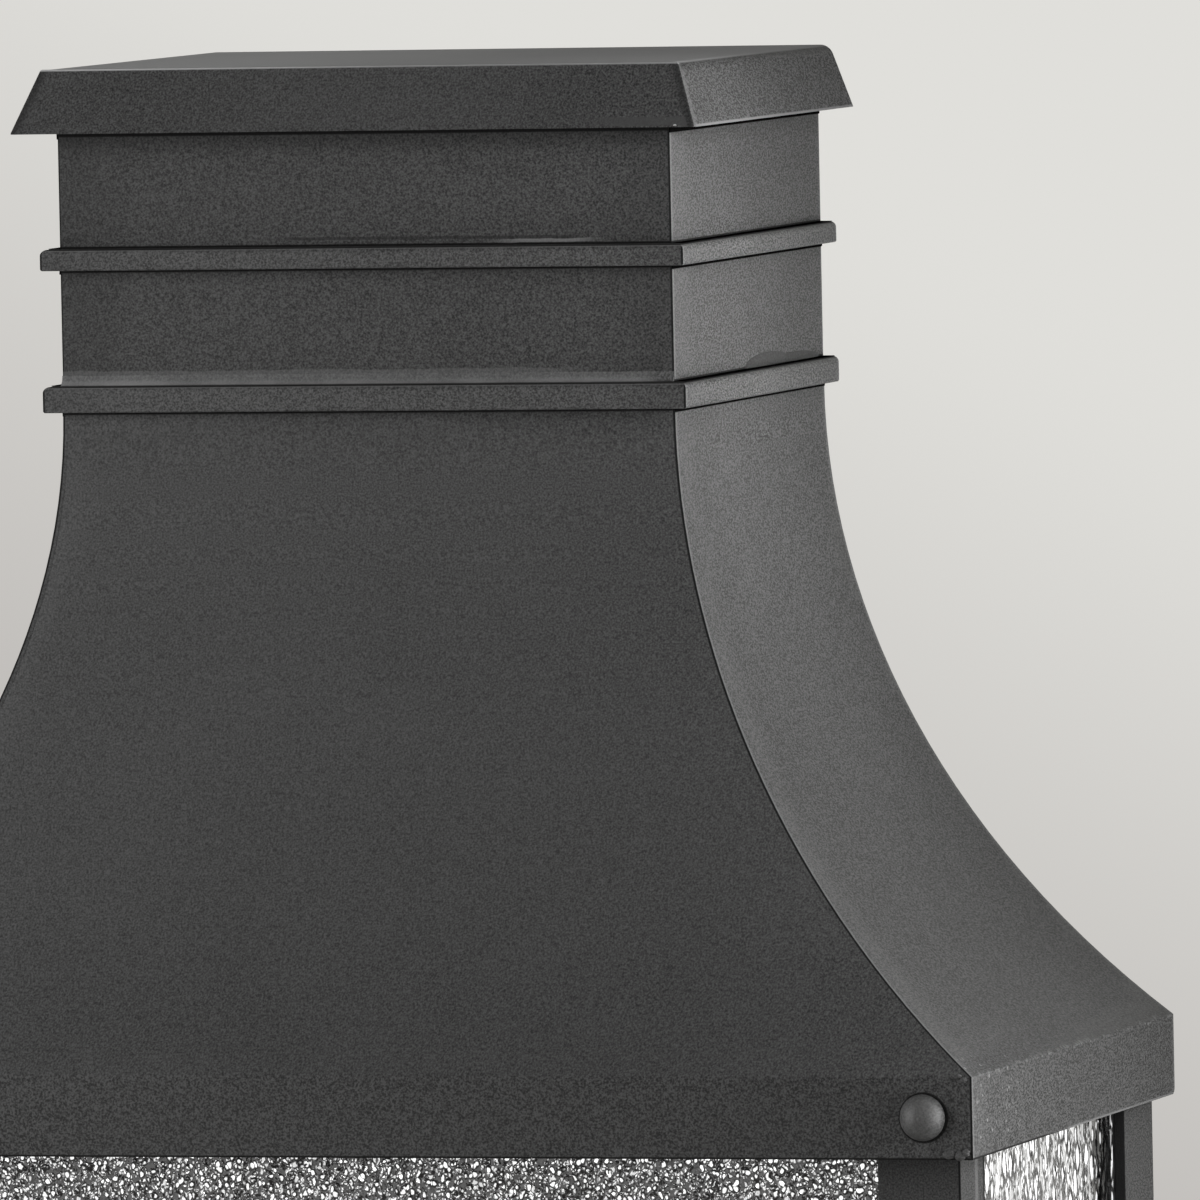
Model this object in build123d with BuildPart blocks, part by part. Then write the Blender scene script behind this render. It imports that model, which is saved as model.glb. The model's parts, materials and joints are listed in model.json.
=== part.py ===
from build123d import *
import os
from math import acos, asin, atan2, cos, degrees, radians, sin, tan

# Outdoor wall lantern: a flared hood with a chimney top over a glazed cage with three candle lamps.
# Millimetres. The wall is the plane y = 0, the lantern stands out along -Y, and +Z is up.
# The origin is the centre of the crossbar, on the wall. +X is to the right, seen from the front.

# Hood: elliptical flare between the chimney and the fascia, all of folded sheet
hood_width = 305.0
hood_depth = 180.0
fascia_height = 18.4
flare_height = 146.3
flare_semi_height = 205.0
sheet = 1.2
eave_z = 30.0
wall_gap = 0.3
fascia_corner_radius = 1.8

# Chimney, its two bands and its cap
chimney_width = 144.2
chimney_depth = 126.5
band_reach = 3.6
lower_band_height = 5.9
upper_band_height = 4.8
upper_band_rise = 32.2
band_top_round = 1.4
band_foot_round = 0.5
cove_radius = 2.4
cap_rise = 63.4
cap_height = 14.4
cap_foot_side = 8.4
cap_foot_front = 9.1
cap_top_side = 2.95
cap_top_front = 2.3
cap_bend_radius = 3.2

# Cage: angle posts, top rails, panes in channels
cage_side_gap = 5.5
cage_front_gap = 9.4
window_height = 299.6
post_wall = 2.5
front_post_face = 19.0
front_post_side = 21.0
rear_post_face = 20.0
rear_post_side = 26.0
post_rise = 17.0
rail_height = 14.0
glass = 3.0
glass_play = 0.15
glass_lap = 6.5
glass_rise = 12.0
channel_wall = 0.8
channel_depth = 5.0
seat_gap = 0.3

# Dome-headed screws that hold the hood to the front posts, with their spacers and clamp plates
screw_inset = 5.9
screw_rise = 9.4
dome_radius = 5.2
dome_height = 4.2
screw_radius = 2.0
screw_hole_radius = 2.4
slot_width = 5.0
spacer_radius = 4.2
clamp_width = 5.8
clamp_height = 13.0
clamp_thickness = 2.0
screw_tail = 2.0

# Hooks that hang the back of the hood on the back pan
hook_x = 60.0
hook_width = 16.0
hook_drop = 8.0
hook_foot = 20.0

# Back pan, gasket, crossbar and its fixings
pan_side_gap = 11.0
pan_depth = 20.0
pan_wall = 1.2
pan_lip = 20.0
pan_round = 5.0
gasket_width = 7.0
gasket_margin = 2.0
crossbar_length = 127.0
crossbar_width = 19.0
crossbar_thickness = 2.0
crossbar_round = 3.0
box_slot_spacing = 79.4
box_slot_length = 18.0
box_slot_radius = 2.4
stud_x = 57.0
stud_radius = 2.0
stud_play = 0.1
cap_nut_flats = 8.0
cap_nut_hex = 4.0
cap_nut_dome = 3.7
cap_nut_grip = 6.0
ground_screw_x = 13.0
ground_head_radius = 3.6
ground_head_height = 2.2

# Tray under the cage and the bottom pan below it
rim_height = 18.4
tray_wall = 1.5
tray_round = 1.5
bottom_side_gap = 11.0
bottom_front_gap = 7.1
bottom_height = 16.0
bottom_wall = 1.2
bottom_lip = 7.0
drain_radius = 2.5
drain_inset = 26.0
drain_reach = 50.0
drain_front_gap = 28.5
lip_screw_reach = 40.0
lip_screw_front_gap = 33.5
lip_screw_radius = 1.75
lip_screw_head_radius = 3.3
lip_screw_head_height = 1.8

# Candle cluster
cup_radius = 38.0
cup_height = 12.0
cup_wall = 1.2
stem_radius = 5.0
stem_bore_radius = 3.6
stem_play = 0.1
stem_rise = 28.0
stem_nut_flats = 14.0
stem_nut_height = 3.0
hub_radius = 15.0
hub_height = 24.0
hub_neck_radius = 8.0
arm_radius = 4.0
arm_boss_radius = 6.0
arm_boss_reach = 19.0
arm_socket_depth = 5.0
arm_straight = 7.0
arm_dip_radius = 14.0
arm_dip_angle = 35.0
arm_riser = 4.0
candle_spacing = 62.0
drip_radius = 22.0
drip_height = 6.0
drip_wall = 1.0
drip_floor_radius = 13.0
sleeve_radius = 11.0
sleeve_bore_radius = 9.8
sleeve_height = 85.0
holder_radius = 9.4
holder_height = 32.0
holder_bore_radius = 6.6
holder_bore_depth = 24.0
holder_nipple_radius = 4.5
lamp_cap_radius = 6.0
lamp_cap_height = 22.0
lamp_tip_radius = 2.4
lamp_tip_height = 1.4
bulb_radius = 17.5
bulb_neck_radius = 6.4
bulb_belly_rise = 27.0
bulb_height = 72.0
bulb_tip_radius = 2.2
bulb_wall = 0.8
filament_stem_radius = 2.4
filament_stem_height = 14.0
filament_ring_radius = 5.4
filament_disc_radius = 6.8
filament_disc_height = 0.8
filament_radius = 0.9
filament_height = 26.0
filament_count = 2

# Leads, their grommet and connectors
lead_radius = 1.1
lead_spacing = 2.3
lead_bend = 7.0
lead_reach = 11.0
lead_floor_gap = 2.4
lead_fan_z = -215.0
lead_fan_top_z = -160.0
lead_top_z = -72.0
lead_fan_x = 22.0
lead_fan_bend = 30.0
ground_turn_z = -34.0
ground_turn_top_z = -16.0
grommet_bore_radius = 4.2
grommet_radius = 6.0
grommet_flange_radius = 7.2
grommet_flange = 1.2
connector_mouth_radius = 5.6
connector_top_radius = 3.6
connector_height = 22.0
connector_grip = 7.0
connector_bore_radius = 2.2

# Places that follow from the sizes above
half_hood = hood_width / 2
half_chimney = chimney_width / 2
half_cage = half_hood - cage_side_gap
cage_depth = hood_depth - cage_front_gap
crease_z = eave_z + fascia_height
neck_z = crease_z + flare_height
upper_band_z = neck_z + upper_band_rise
cap_foot_z = neck_z + cap_rise
cap_top_z = cap_foot_z + cap_height
post_top_z = eave_z + post_rise
rim_top_z = eave_z - window_height
tray_z = rim_top_z - rim_height
floor_z = tray_z + tray_wall
bottom_z = tray_z - bottom_height
pan_top_z = eave_z + glass_rise
screw_x = half_cage - screw_inset
screw_z = eave_z + screw_rise
glass_reach = cage_depth - post_wall - channel_wall - glass_play
glass_half = half_cage - post_wall - channel_wall - glass_play
pan_half_width = half_cage - pan_side_gap
bottom_half_width = half_cage - bottom_side_gap
bottom_depth = cage_depth - bottom_front_gap
cluster_reach = (pan_depth + glass_reach - glass) / 2
flare_angle = asin(flare_height / flare_semi_height)

# Local x is the way out from the wall and local y is up, for profiles seen from the side
side_view = Plane(origin=(0, 0, 0), x_dir=(0, -1, 0), z_dir=(-1, 0, 0))

os.makedirs("parts", exist_ok=True)


def save(piece, label):
    """Label a finished piece and write it to its own file."""
    piece.part.label = label
    export_step(piece.part, f"parts/{label}.step")


def outward(x, reach, z):
    """Plane across a screw at (x, z): local x is +X and local y is the way out from the wall."""
    return Plane(origin=(x, -reach, z), x_dir=(1, 0, 0), z_dir=(0, 0, -1))


def upright(x, reach, z):
    """Plane through the vertical axis at (x, reach): local x is the radius and local y is up."""
    return Plane(origin=(x, -reach, z), x_dir=(1, 0, 0), z_dir=(0, -1, 0))


# Hood panels: outline of the flare, and the sections cut from it


def flare_outline(neck, eave, inset):
    """Draw one flare from the chimney's foot to the fascia's lower edge, inset by a wall."""
    semi = (eave - neck) / (1 - cos(flare_angle))
    inner_semi = semi + inset
    turn = degrees(acos((neck + semi - eave + inset) / inner_semi))
    centre = (neck + semi, neck_z)
    curve = EllipticalCenterArc(centre, inner_semi, flare_semi_height + inset, 180, arc_size=turn)
    Line(curve @ 1, (eave - inset, eave_z))


def flare_sheet(neck, eave):
    """Section of the bent sheet itself."""
    with BuildSketch() as section:
        with BuildLine():
            flare_outline(neck, eave, 0)
            flare_outline(neck, eave, sheet)
            Line((neck, neck_z), (neck - sheet, neck_z))
            Line((eave, eave_z), (eave - sheet, eave_z))
        make_face()
    return section.sketch


def flare_inside(neck, eave, inset):
    """Everything from the middle, or the wall, out to one flare."""
    with BuildSketch() as section:
        with BuildLine():
            flare_outline(neck, eave, inset)
            Polyline((eave - inset, eave_z), (0, eave_z), (0, neck_z), (neck - inset, neck_z))
        make_face()
    return section.sketch


with BuildPart() as hood_front_panel:
    with BuildSketch(side_view):
        add(flare_sheet(chimney_depth, hood_depth))
    extrude(amount=half_hood, both=True)
    with BuildSketch(Plane.XZ):
        add(flare_inside(half_chimney, half_hood, sheet))
        mirror(about=Plane.YZ)
    extrude(amount=hood_depth, mode=Mode.INTERSECT)
    with Locations(*[outward(side * screw_x, hood_depth, screw_z) for side in (-1, 1)]):
        Cylinder(screw_hole_radius, 4 * sheet, rotation=(90, 0, 0), mode=Mode.SUBTRACT)
save(hood_front_panel, "hood_front_panel")

with BuildPart() as hood_right_panel:
    with BuildSketch(Plane.XZ.offset(wall_gap)):
        add(flare_sheet(half_chimney, half_hood))
    extrude(amount=hood_depth - wall_gap)
    with BuildSketch(side_view):
        add(flare_inside(chimney_depth, hood_depth, 0))
    extrude(amount=half_hood, both=True, mode=Mode.INTERSECT)
    low_edges = hood_right_panel.edges().filter_by(Axis.X).group_by(Axis.Z)[0]
    fillet(low_edges.sort_by(Axis.Y)[-1], fascia_corner_radius)
save(hood_right_panel, "hood_right_panel")

with BuildPart() as hood_left_panel:
    add(hood_right_panel.part.mirror(Plane.YZ))
save(hood_left_panel, "hood_left_panel")

with BuildPart() as hood_rear_panel:
    with BuildSketch(Plane.XZ.offset(wall_gap)):
        add(flare_inside(half_chimney, half_hood, sheet))
        mirror(about=Plane.YZ)
        with Locations((0, (eave_z + crease_z) / 2)):
            Rectangle(hood_width, fascia_height, mode=Mode.SUBTRACT)
    extrude(amount=sheet)
save(hood_rear_panel, "hood_rear_panel")


def plan_block(z, half_width, front, back=0.0):
    """Rectangle in plan at one height, from one distance out of the wall to another."""
    with BuildSketch(Plane.XY.offset(z)) as section:
        with Locations((0, -(front + back) / 2)):
            Rectangle(2 * half_width, front - back)
    return section.sketch


# Chimney: a square tube, closed by the cap, with a band at its foot and one half way up

with BuildPart() as chimney_shell:
    chimney_height = cap_top_z - sheet - neck_z
    extrude(plan_block(neck_z, half_chimney, chimney_depth, wall_gap), amount=chimney_height)
    hollow = plan_block(neck_z, half_chimney - sheet, chimney_depth - sheet, wall_gap + sheet)
    extrude(hollow, amount=chimney_height, mode=Mode.SUBTRACT)
save(chimney_shell, "chimney_shell")


def add_band(piece, z, height):
    """Bar bent round the front and both sides of the chimney, rounded along its edges."""
    extrude(plan_block(z, half_chimney + band_reach, chimney_depth + band_reach, wall_gap), amount=height)
    fillet(piece.edges().group_by(Axis.Z)[-1].sort_by(Axis.Y)[:-1], band_top_round)
    fillet(piece.edges().group_by(Axis.Z)[0].sort_by(Axis.Y)[:-1], band_foot_round)
    extrude(plan_block(z, half_chimney, chimney_depth, wall_gap), amount=height, mode=Mode.SUBTRACT)


with BuildPart() as lower_band:
    add_band(lower_band, neck_z, lower_band_height)
    with BuildSketch(side_view):
        with BuildLine():
            foot = (chimney_depth, neck_z + lower_band_height)
            out = (foot[0] + cove_radius, foot[1])
            up = (foot[0], foot[1] + cove_radius)
            Line(foot, out)
            RadiusArc(out, up, cove_radius)
            Line(up, foot)
        make_face()
    extrude(amount=half_chimney, both=True)
save(lower_band, "lower_band")

with BuildPart() as upper_band:
    add_band(upper_band, upper_band_z, upper_band_height)
save(upper_band, "upper_band")

# Cap: one sheet folded over the sides and top, closed in front by a sloping plate


def cap_section(foot, top, inset=0.0, bend=0.0):
    """Half of the cap's sloping outline, from the middle out; an inset one runs past the foot."""
    lean = (foot - top) / cap_height
    across = inset / cos(atan2(foot - top, cap_height))
    low_z = cap_foot_z - (cap_height if inset else 0)
    high_z = cap_top_z - inset
    low = foot + lean * (cap_foot_z - low_z) - across
    high = top + lean * inset - across
    with BuildSketch() as section:
        with BuildLine():
            Polyline((0, low_z), (low, low_z), (high, high_z), (0, high_z), close=True)
        make_face()
        if bend:
            fillet(section.vertices().group_by(Axis.Y)[-1].sort_by(Axis.X)[-1], bend)
    return section.sketch


cap_foot_half = half_chimney + cap_foot_side
cap_top_half = half_chimney + cap_top_side
cap_foot_reach = chimney_depth + cap_foot_front
cap_top_reach = chimney_depth + cap_top_front

with BuildPart() as cap_front_plate:
    plate_reach = sheet / cos(atan2(cap_foot_reach - cap_top_reach, cap_height))
    with BuildSketch(side_view):
        with BuildLine():
            Polyline(
                (cap_foot_reach, cap_foot_z),
                (cap_top_reach, cap_top_z),
                (cap_top_reach - plate_reach, cap_top_z),
                (cap_foot_reach - plate_reach, cap_foot_z),
                close=True,
            )
        make_face()
    extrude(amount=cap_foot_half, both=True)
    with BuildSketch(Plane.XZ):
        add(cap_section(cap_foot_half, cap_top_half))
        mirror(about=Plane.YZ)
    extrude(amount=cap_foot_reach, mode=Mode.INTERSECT)
save(cap_front_plate, "cap_front_plate")

with BuildPart() as cap_cover:
    with BuildSketch(Plane.XZ.offset(wall_gap)):
        add(cap_section(cap_foot_half, cap_top_half, bend=cap_bend_radius))
        add(cap_section(cap_foot_half, cap_top_half, sheet, cap_bend_radius - sheet), mode=Mode.SUBTRACT)
        mirror(about=Plane.YZ)
    extrude(amount=cap_foot_reach)
    add(cap_front_plate.part, mode=Mode.SUBTRACT)
    with BuildSketch(side_view):
        add(cap_section(cap_foot_reach, cap_top_reach))
    extrude(amount=cap_foot_half, both=True, mode=Mode.INTERSECT)
save(cap_cover, "cap_cover")

# Cage: four angle posts on the tray, tied by rails hidden behind the fascia


def angle_section(face, side, out, inward):
    """Right-hand angle in plan: its corner is at one distance from the wall, its side leg runs inward."""
    inner_x = half_cage - post_wall
    inner_y = -out - inward * post_wall
    side_y = -out - inward * side
    with BuildSketch(Plane.XY.offset(floor_z)) as section:
        with BuildLine():
            Polyline(
                (half_cage, -out),
                (half_cage, side_y),
                (inner_x, side_y),
                (inner_x, inner_y),
                (half_cage - face, inner_y),
                (half_cage - face, -out),
                close=True,
            )
        make_face()
    return section.sketch


post_height = post_top_z - floor_z
with BuildPart() as front_right_post:
    extrude(angle_section(front_post_face, front_post_side, cage_depth, -1), amount=post_height)
    with BuildSketch(Plane.XZ.offset(cage_depth - 2 * post_wall)):
        with Locations((screw_x, screw_z)):
            Circle(slot_width / 2)
        with Locations((screw_x, screw_z + post_rise / 2)):
            Rectangle(slot_width, post_rise)
    extrude(amount=3 * post_wall, mode=Mode.SUBTRACT)
save(front_right_post, "front_right_post")

with BuildPart() as front_left_post:
    add(front_right_post.part.mirror(Plane.YZ))
save(front_left_post, "front_left_post")

with BuildPart() as rear_right_post:
    extrude(angle_section(rear_post_face, rear_post_side, 0.0, 1), amount=post_height)
save(rear_right_post, "rear_right_post")

with BuildPart() as rear_left_post:
    add(rear_right_post.part.mirror(Plane.YZ))
save(rear_left_post, "rear_left_post")

rail_z = post_top_z - rail_height
with BuildPart() as top_rail_front:
    rail_half = half_cage - front_post_face
    extrude(plan_block(rail_z, rail_half, cage_depth, cage_depth - post_wall), amount=rail_height)
save(top_rail_front, "top_rail_front")

for side_name, side in (("left", -1), ("right", 1)):
    with BuildPart() as top_rail:
        rail_front = cage_depth - front_post_side
        with BuildSketch(Plane.XY.offset(rail_z)):
            with Locations((side * (half_cage - post_wall / 2), -(rail_front + rear_post_side) / 2)):
                Rectangle(post_wall, rail_front - rear_post_side)
        extrude(amount=rail_height)
    save(top_rail, f"top_rail_{side_name}")

# Glazing: each pane stands in two folded channels, so that it slides in from above

front_glass_half = half_cage - front_post_face + glass_lap
side_glass_front = cage_depth - front_post_side + glass_lap
side_glass_back = rear_post_side - glass_lap
pane_foot_z = floor_z + seat_gap
pane_height = pan_top_z - pane_foot_z

with BuildPart() as front_glass:
    extrude(plan_block(pane_foot_z, front_glass_half, glass_reach, glass_reach - glass), amount=pane_height)
save(front_glass, "front_glass")

for side_name, side in (("left", -1), ("right", 1)):
    with BuildPart() as side_glass:
        side_glass_middle = (side_glass_front + side_glass_back) / 2
        with BuildSketch(Plane.XY.offset(pane_foot_z)):
            with Locations((side * (glass_half - glass / 2), -side_glass_middle)):
                Rectangle(glass, side_glass_front - side_glass_back)
        extrude(amount=pane_height)
    save(side_glass, f"{side_name}_glass")

channel_gap = glass + 2 * glass_play
channel_width = channel_gap + 2 * channel_wall
channel_length = channel_depth + glass_play + channel_wall
with BuildPart() as glass_channels:
    edges_of_panes = []
    for side in (-1, 1):
        mid_reach = glass_reach - glass / 2
        edges_of_panes.append((side * (front_glass_half - channel_depth), mid_reach, 90 - side * 90))
        mid_x = side * (glass_half - glass / 2)
        edges_of_panes.append((mid_x, side_glass_front - channel_depth, 270))
        edges_of_panes.append((mid_x, side_glass_back + channel_depth, 90))
    for x, reach, turn in edges_of_panes:
        with BuildSketch(Plane.XY.offset(floor_z)):
            with Locations(Location((x, -reach, 0), (0, 0, turn))):
                Rectangle(channel_length, channel_width, align=(Align.MIN, Align.CENTER))
                Rectangle(
                    channel_depth + glass_play,
                    channel_gap,
                    align=(Align.MIN, Align.CENTER),
                    mode=Mode.SUBTRACT,
                )
        extrude(amount=rail_z + rail_height / 2 - floor_z)
save(glass_channels, "glass_channels")

# Dome-headed screws, turned by hand, with a spacer before each post and a clamp plate behind it

clamp_face = cage_depth - post_wall - seat_gap
screw_length = hood_depth - clamp_face + clamp_thickness + screw_tail
dome_ball = (dome_radius**2 + dome_height**2) / (2 * dome_height)
for side_name, side in (("left", -1), ("right", 1)):
    with BuildPart() as dome_screw:
        with BuildSketch(outward(side * screw_x, hood_depth, screw_z)):
            with BuildLine():
                Line((0, dome_height), (0, -screw_length))
                Line((0, -screw_length), (screw_radius, -screw_length))
                Line((screw_radius, -screw_length), (screw_radius, 0))
                Line((screw_radius, 0), (dome_radius, 0))
                RadiusArc((dome_radius, 0), (0, dome_height), -dome_ball)
            make_face()
        revolve(axis=Axis((side * screw_x, 0, screw_z), (0, -1, 0)))
    save(dome_screw, f"dome_screw_{side_name}")

with BuildPart() as spacer_bushes:
    spacer_back = cage_depth + seat_gap
    for side in (-1, 1):
        with BuildSketch(Plane.XZ.offset(spacer_back)):
            with Locations((side * screw_x, screw_z)):
                Circle(spacer_radius)
                Circle(screw_hole_radius, mode=Mode.SUBTRACT)
        extrude(amount=hood_depth - sheet - spacer_back)
save(spacer_bushes, "spacer_bushes")

with BuildPart() as clamp_plates:
    for side in (-1, 1):
        with BuildSketch(Plane.XZ.offset(clamp_face - clamp_thickness)):
            with Locations((side * screw_x, screw_z)):
                Rectangle(clamp_width, clamp_height)
                Circle(screw_hole_radius, mode=Mode.SUBTRACT)
        extrude(amount=clamp_thickness)
save(clamp_plates, "clamp_plates")

# Hooks welded inside the hood's rear panel, which drop over the top edge of the back pan

with BuildPart() as hood_hooks:
    hook_z = pan_top_z + seat_gap
    hook_out = pan_depth + seat_gap
    weld_reach = wall_gap + sheet
    for side in (-1, 1):
        with BuildSketch(side_view.offset(-side * hook_x - hook_width / 2)):
            with BuildLine():
                Polyline(
                    (weld_reach, crease_z + hook_foot),
                    (weld_reach + sheet, crease_z + hook_foot),
                    (weld_reach + sheet, hook_z + sheet),
                    (hook_out + sheet, hook_z + sheet),
                    (hook_out + sheet, hook_z - hook_drop),
                    (hook_out, hook_z - hook_drop),
                    (hook_out, hook_z),
                    (weld_reach, hook_z),
                    close=True,
                )
            make_face()
        extrude(amount=hook_width)
save(hood_hooks, "hood_hooks")

# Back pan: a drawn tray, open to the wall, which holds the crossbar and the wire joints

with BuildPart() as back_pan:
    extrude(plan_block(floor_z, pan_half_width, pan_depth, post_wall), amount=pan_top_z - floor_z)
    front_edges = back_pan.faces().sort_by(Axis.Y)[0].edges().sort_by(Axis.Z)[1:]
    fillet(front_edges, pan_round)
    offset(amount=-pan_wall, openings=back_pan.faces().sort_by(Axis.Y)[-1])
    with BuildSketch(Plane.XZ.offset(post_wall)):
        with Locations((0, (floor_z + pan_top_z) / 2)):
            Rectangle(2 * pan_half_width, pan_top_z - floor_z)
            Rectangle(2 * (pan_half_width - pan_lip), pan_top_z - floor_z - 2 * pan_lip, mode=Mode.SUBTRACT)
    extrude(amount=pan_wall)
    with Locations(*[outward(side * stud_x, pan_depth, 0) for side in (-1, 1)]):
        Cylinder(stud_radius + seat_gap, 4 * pan_wall, rotation=(90, 0, 0), mode=Mode.SUBTRACT)
    with Locations((0, -lead_reach, floor_z)):
        Cylinder(grommet_radius + glass_play, 4 * pan_wall, mode=Mode.SUBTRACT)
save(back_pan, "back_pan")

gasket_half = half_cage - rear_post_face - gasket_margin
gasket_mid_z = (floor_z + pan_top_z) / 2
gasket_height = pan_top_z - floor_z - 2 * (pan_half_width - gasket_half)
with BuildPart() as wall_gasket:
    with BuildSketch(Plane.XZ):
        with Locations((0, gasket_mid_z)):
            Rectangle(2 * gasket_half, gasket_height)
            Rectangle(2 * (gasket_half - gasket_width), gasket_height - 2 * gasket_width, mode=Mode.SUBTRACT)
    extrude(amount=post_wall)
save(wall_gasket, "wall_gasket")

with BuildPart() as crossbar:
    with BuildSketch(Plane.XZ):
        RectangleRounded(crossbar_length, crossbar_width, crossbar_round)
        for side in (-1, 1):
            with Locations((side * box_slot_spacing / 2, 0)):
                SlotOverall(box_slot_length, 2 * box_slot_radius, mode=Mode.SUBTRACT)
            with Locations((side * stud_x, 0)):
                Circle(stud_radius + stud_play, mode=Mode.SUBTRACT)
        with Locations((ground_screw_x, 0)):
            Circle(stud_radius + stud_play, mode=Mode.SUBTRACT)
    extrude(amount=crossbar_thickness)
save(crossbar, "crossbar")


def turned(piece_plane, outline, mode=Mode.ADD):
    """Revolve a closed outline of (radius, height) points about the plane's own local y axis."""
    with BuildSketch(piece_plane) as section:
        with BuildLine():
            Polyline(*outline, close=True)
        make_face()
    revolve(section.sketch, axis=Axis(piece_plane.origin, piece_plane.y_dir), mode=mode)


def tube_outline(radius, bore, low, high):
    """Outline of a plain ring or tube for turned()."""
    return [(bore, low), (radius, low), (radius, high), (bore, high)]


stud_reach = pan_depth + cap_nut_grip
with BuildPart() as crossbar_studs:
    for side in (-1, 1):
        with BuildSketch(Plane.XZ):
            with Locations((side * stud_x, 0)):
                Circle(stud_radius)
        extrude(amount=stud_reach)
save(crossbar_studs, "crossbar_studs")

with BuildPart() as cap_nuts:
    for side in (-1, 1):
        with BuildSketch(Plane.XZ.offset(pan_depth)):
            with Locations((side * stud_x, 0)):
                RegularPolygon(cap_nut_flats / 2, 6, major_radius=False)
        extrude(amount=cap_nut_hex)
        with Locations((side * stud_x, -pan_depth - cap_nut_hex, 0)):
            Sphere(cap_nut_dome)
        with BuildSketch(Plane.XZ.offset(pan_depth)):
            with Locations((side * stud_x, 0)):
                Circle(stud_radius + stud_play)
        extrude(amount=cap_nut_grip, mode=Mode.SUBTRACT)
save(cap_nuts, "cap_nuts")

with BuildPart() as ground_screw:
    with BuildSketch(Plane.XZ):
        with Locations((ground_screw_x, 0)):
            Circle(stud_radius)
    extrude(amount=crossbar_thickness)
    with BuildSketch(Plane.XZ.offset(crossbar_thickness)):
        with Locations((ground_screw_x, 0)):
            Circle(ground_head_radius)
    extrude(amount=ground_head_height)
save(ground_screw, "ground_screw")

# Tray that carries the cage, and the bottom pan that hides the wiring under it

lip_screw_x = bottom_half_width + bottom_lip / 2
drain_x = bottom_half_width - drain_inset
drain_reaches = (drain_reach, bottom_depth - drain_front_gap)
lip_screw_reaches = (lip_screw_reach, bottom_depth - lip_screw_front_gap)
drains = [(side * drain_x, -reach) for side in (-1, 1) for reach in drain_reaches]
lip_screws = [(side * lip_screw_x, -reach) for side in (-1, 1) for reach in lip_screw_reaches]

with BuildPart() as base_tray:
    extrude(plan_block(tray_z, half_hood, hood_depth), amount=rim_height)
    upright_edges = base_tray.edges().filter_by(Axis.Z).group_by(Axis.Y)[0]
    fillet(upright_edges, tray_round)
    hollow = plan_block(floor_z, half_hood - tray_wall, hood_depth - tray_wall)
    extrude(hollow, amount=rim_height, mode=Mode.SUBTRACT)
    with BuildSketch(Plane.XY.offset(tray_z)):
        with Locations((0, -cluster_reach)):
            Circle(stem_radius + stem_play)
        with Locations((0, -lead_reach)):
            Circle(grommet_radius + glass_play)
        with Locations(*drains):
            Circle(drain_radius)
        with Locations(*lip_screws):
            Circle(lip_screw_radius + stud_play)
    extrude(amount=tray_wall, mode=Mode.SUBTRACT)
save(base_tray, "base_tray")

with BuildPart() as bottom_pan:
    extrude(plan_block(bottom_z, bottom_half_width, bottom_depth), amount=bottom_height)
    lip = plan_block(tray_z - bottom_wall, bottom_half_width + bottom_lip, bottom_depth + bottom_lip)
    extrude(lip, amount=bottom_wall)
    inner_half = bottom_half_width - bottom_wall
    hollow = plan_block(bottom_z + bottom_wall, inner_half, bottom_depth - bottom_wall, bottom_wall)
    extrude(hollow, amount=bottom_height, mode=Mode.SUBTRACT)
    with BuildSketch(Plane.XY.offset(bottom_z)):
        with Locations(*drains):
            Circle(drain_radius)
        with Locations(*lip_screws):
            Circle(lip_screw_radius + stud_play)
    extrude(amount=bottom_height, mode=Mode.SUBTRACT)
save(bottom_pan, "bottom_pan")

with BuildPart() as lip_screws_group:
    head_z = tray_z - bottom_wall - lip_screw_head_height
    for x, y in lip_screws:
        head = [(0, head_z), (lip_screw_head_radius, head_z), (lip_screw_head_radius, tray_z - bottom_wall)]
        shank = [(lip_screw_radius, tray_z - bottom_wall), (lip_screw_radius, floor_z), (0, floor_z)]
        turned(upright(x, -y, 0), head + shank)
save(lip_screws_group, "bottom_pan_screws")

# Candle cluster: cup, stem and hub, two swept arms, and three candles in a row

cup_top_z = floor_z + cup_height
hub_z = floor_z + stem_rise + hub_height / 2
stem_foot_z = tray_z - stem_nut_height
stem_bore = stem_radius + stem_play
cluster_axis = upright(0, cluster_reach, 0)

with BuildPart() as cluster_cup:
    shoulder = cup_radius - cup_height / 2
    skin = [(cup_radius, floor_z), (cup_radius, floor_z + cup_wall)]
    skin += [(shoulder, cup_top_z), (stem_bore, cup_top_z)]
    under = [(stem_bore, cup_top_z - cup_wall), (shoulder - cup_wall / 2, cup_top_z - cup_wall)]
    turned(cluster_axis, skin + under + [(cup_radius - 2 * cup_wall, floor_z)])
save(cluster_cup, "cluster_cup")

with BuildPart() as cluster_stem:
    turned(cluster_axis, tube_outline(stem_radius, stem_bore_radius, stem_foot_z, hub_z))
save(cluster_stem, "cluster_stem")

with BuildPart() as stem_nut:
    with BuildSketch(Plane.XY.offset(stem_foot_z)):
        with Locations((0, -cluster_reach)):
            RegularPolygon(stem_nut_flats / 2, 6, major_radius=False)
            Circle(stem_bore, mode=Mode.SUBTRACT)
    extrude(amount=stem_nut_height)
save(stem_nut, "stem_nut")

# Arms leave the hub level, dip, and swing up to the candles in one large arc
swing_radius = (
    candle_spacing
    - (arm_boss_reach - arm_socket_depth)
    - arm_straight
    - arm_dip_radius * sin(radians(arm_dip_angle))
) / (1 + sin(radians(arm_dip_angle)))
swing_rise = swing_radius * cos(radians(arm_dip_angle)) - arm_dip_radius * (1 - cos(radians(arm_dip_angle)))
drip_z = hub_z + swing_rise + arm_riser

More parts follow.
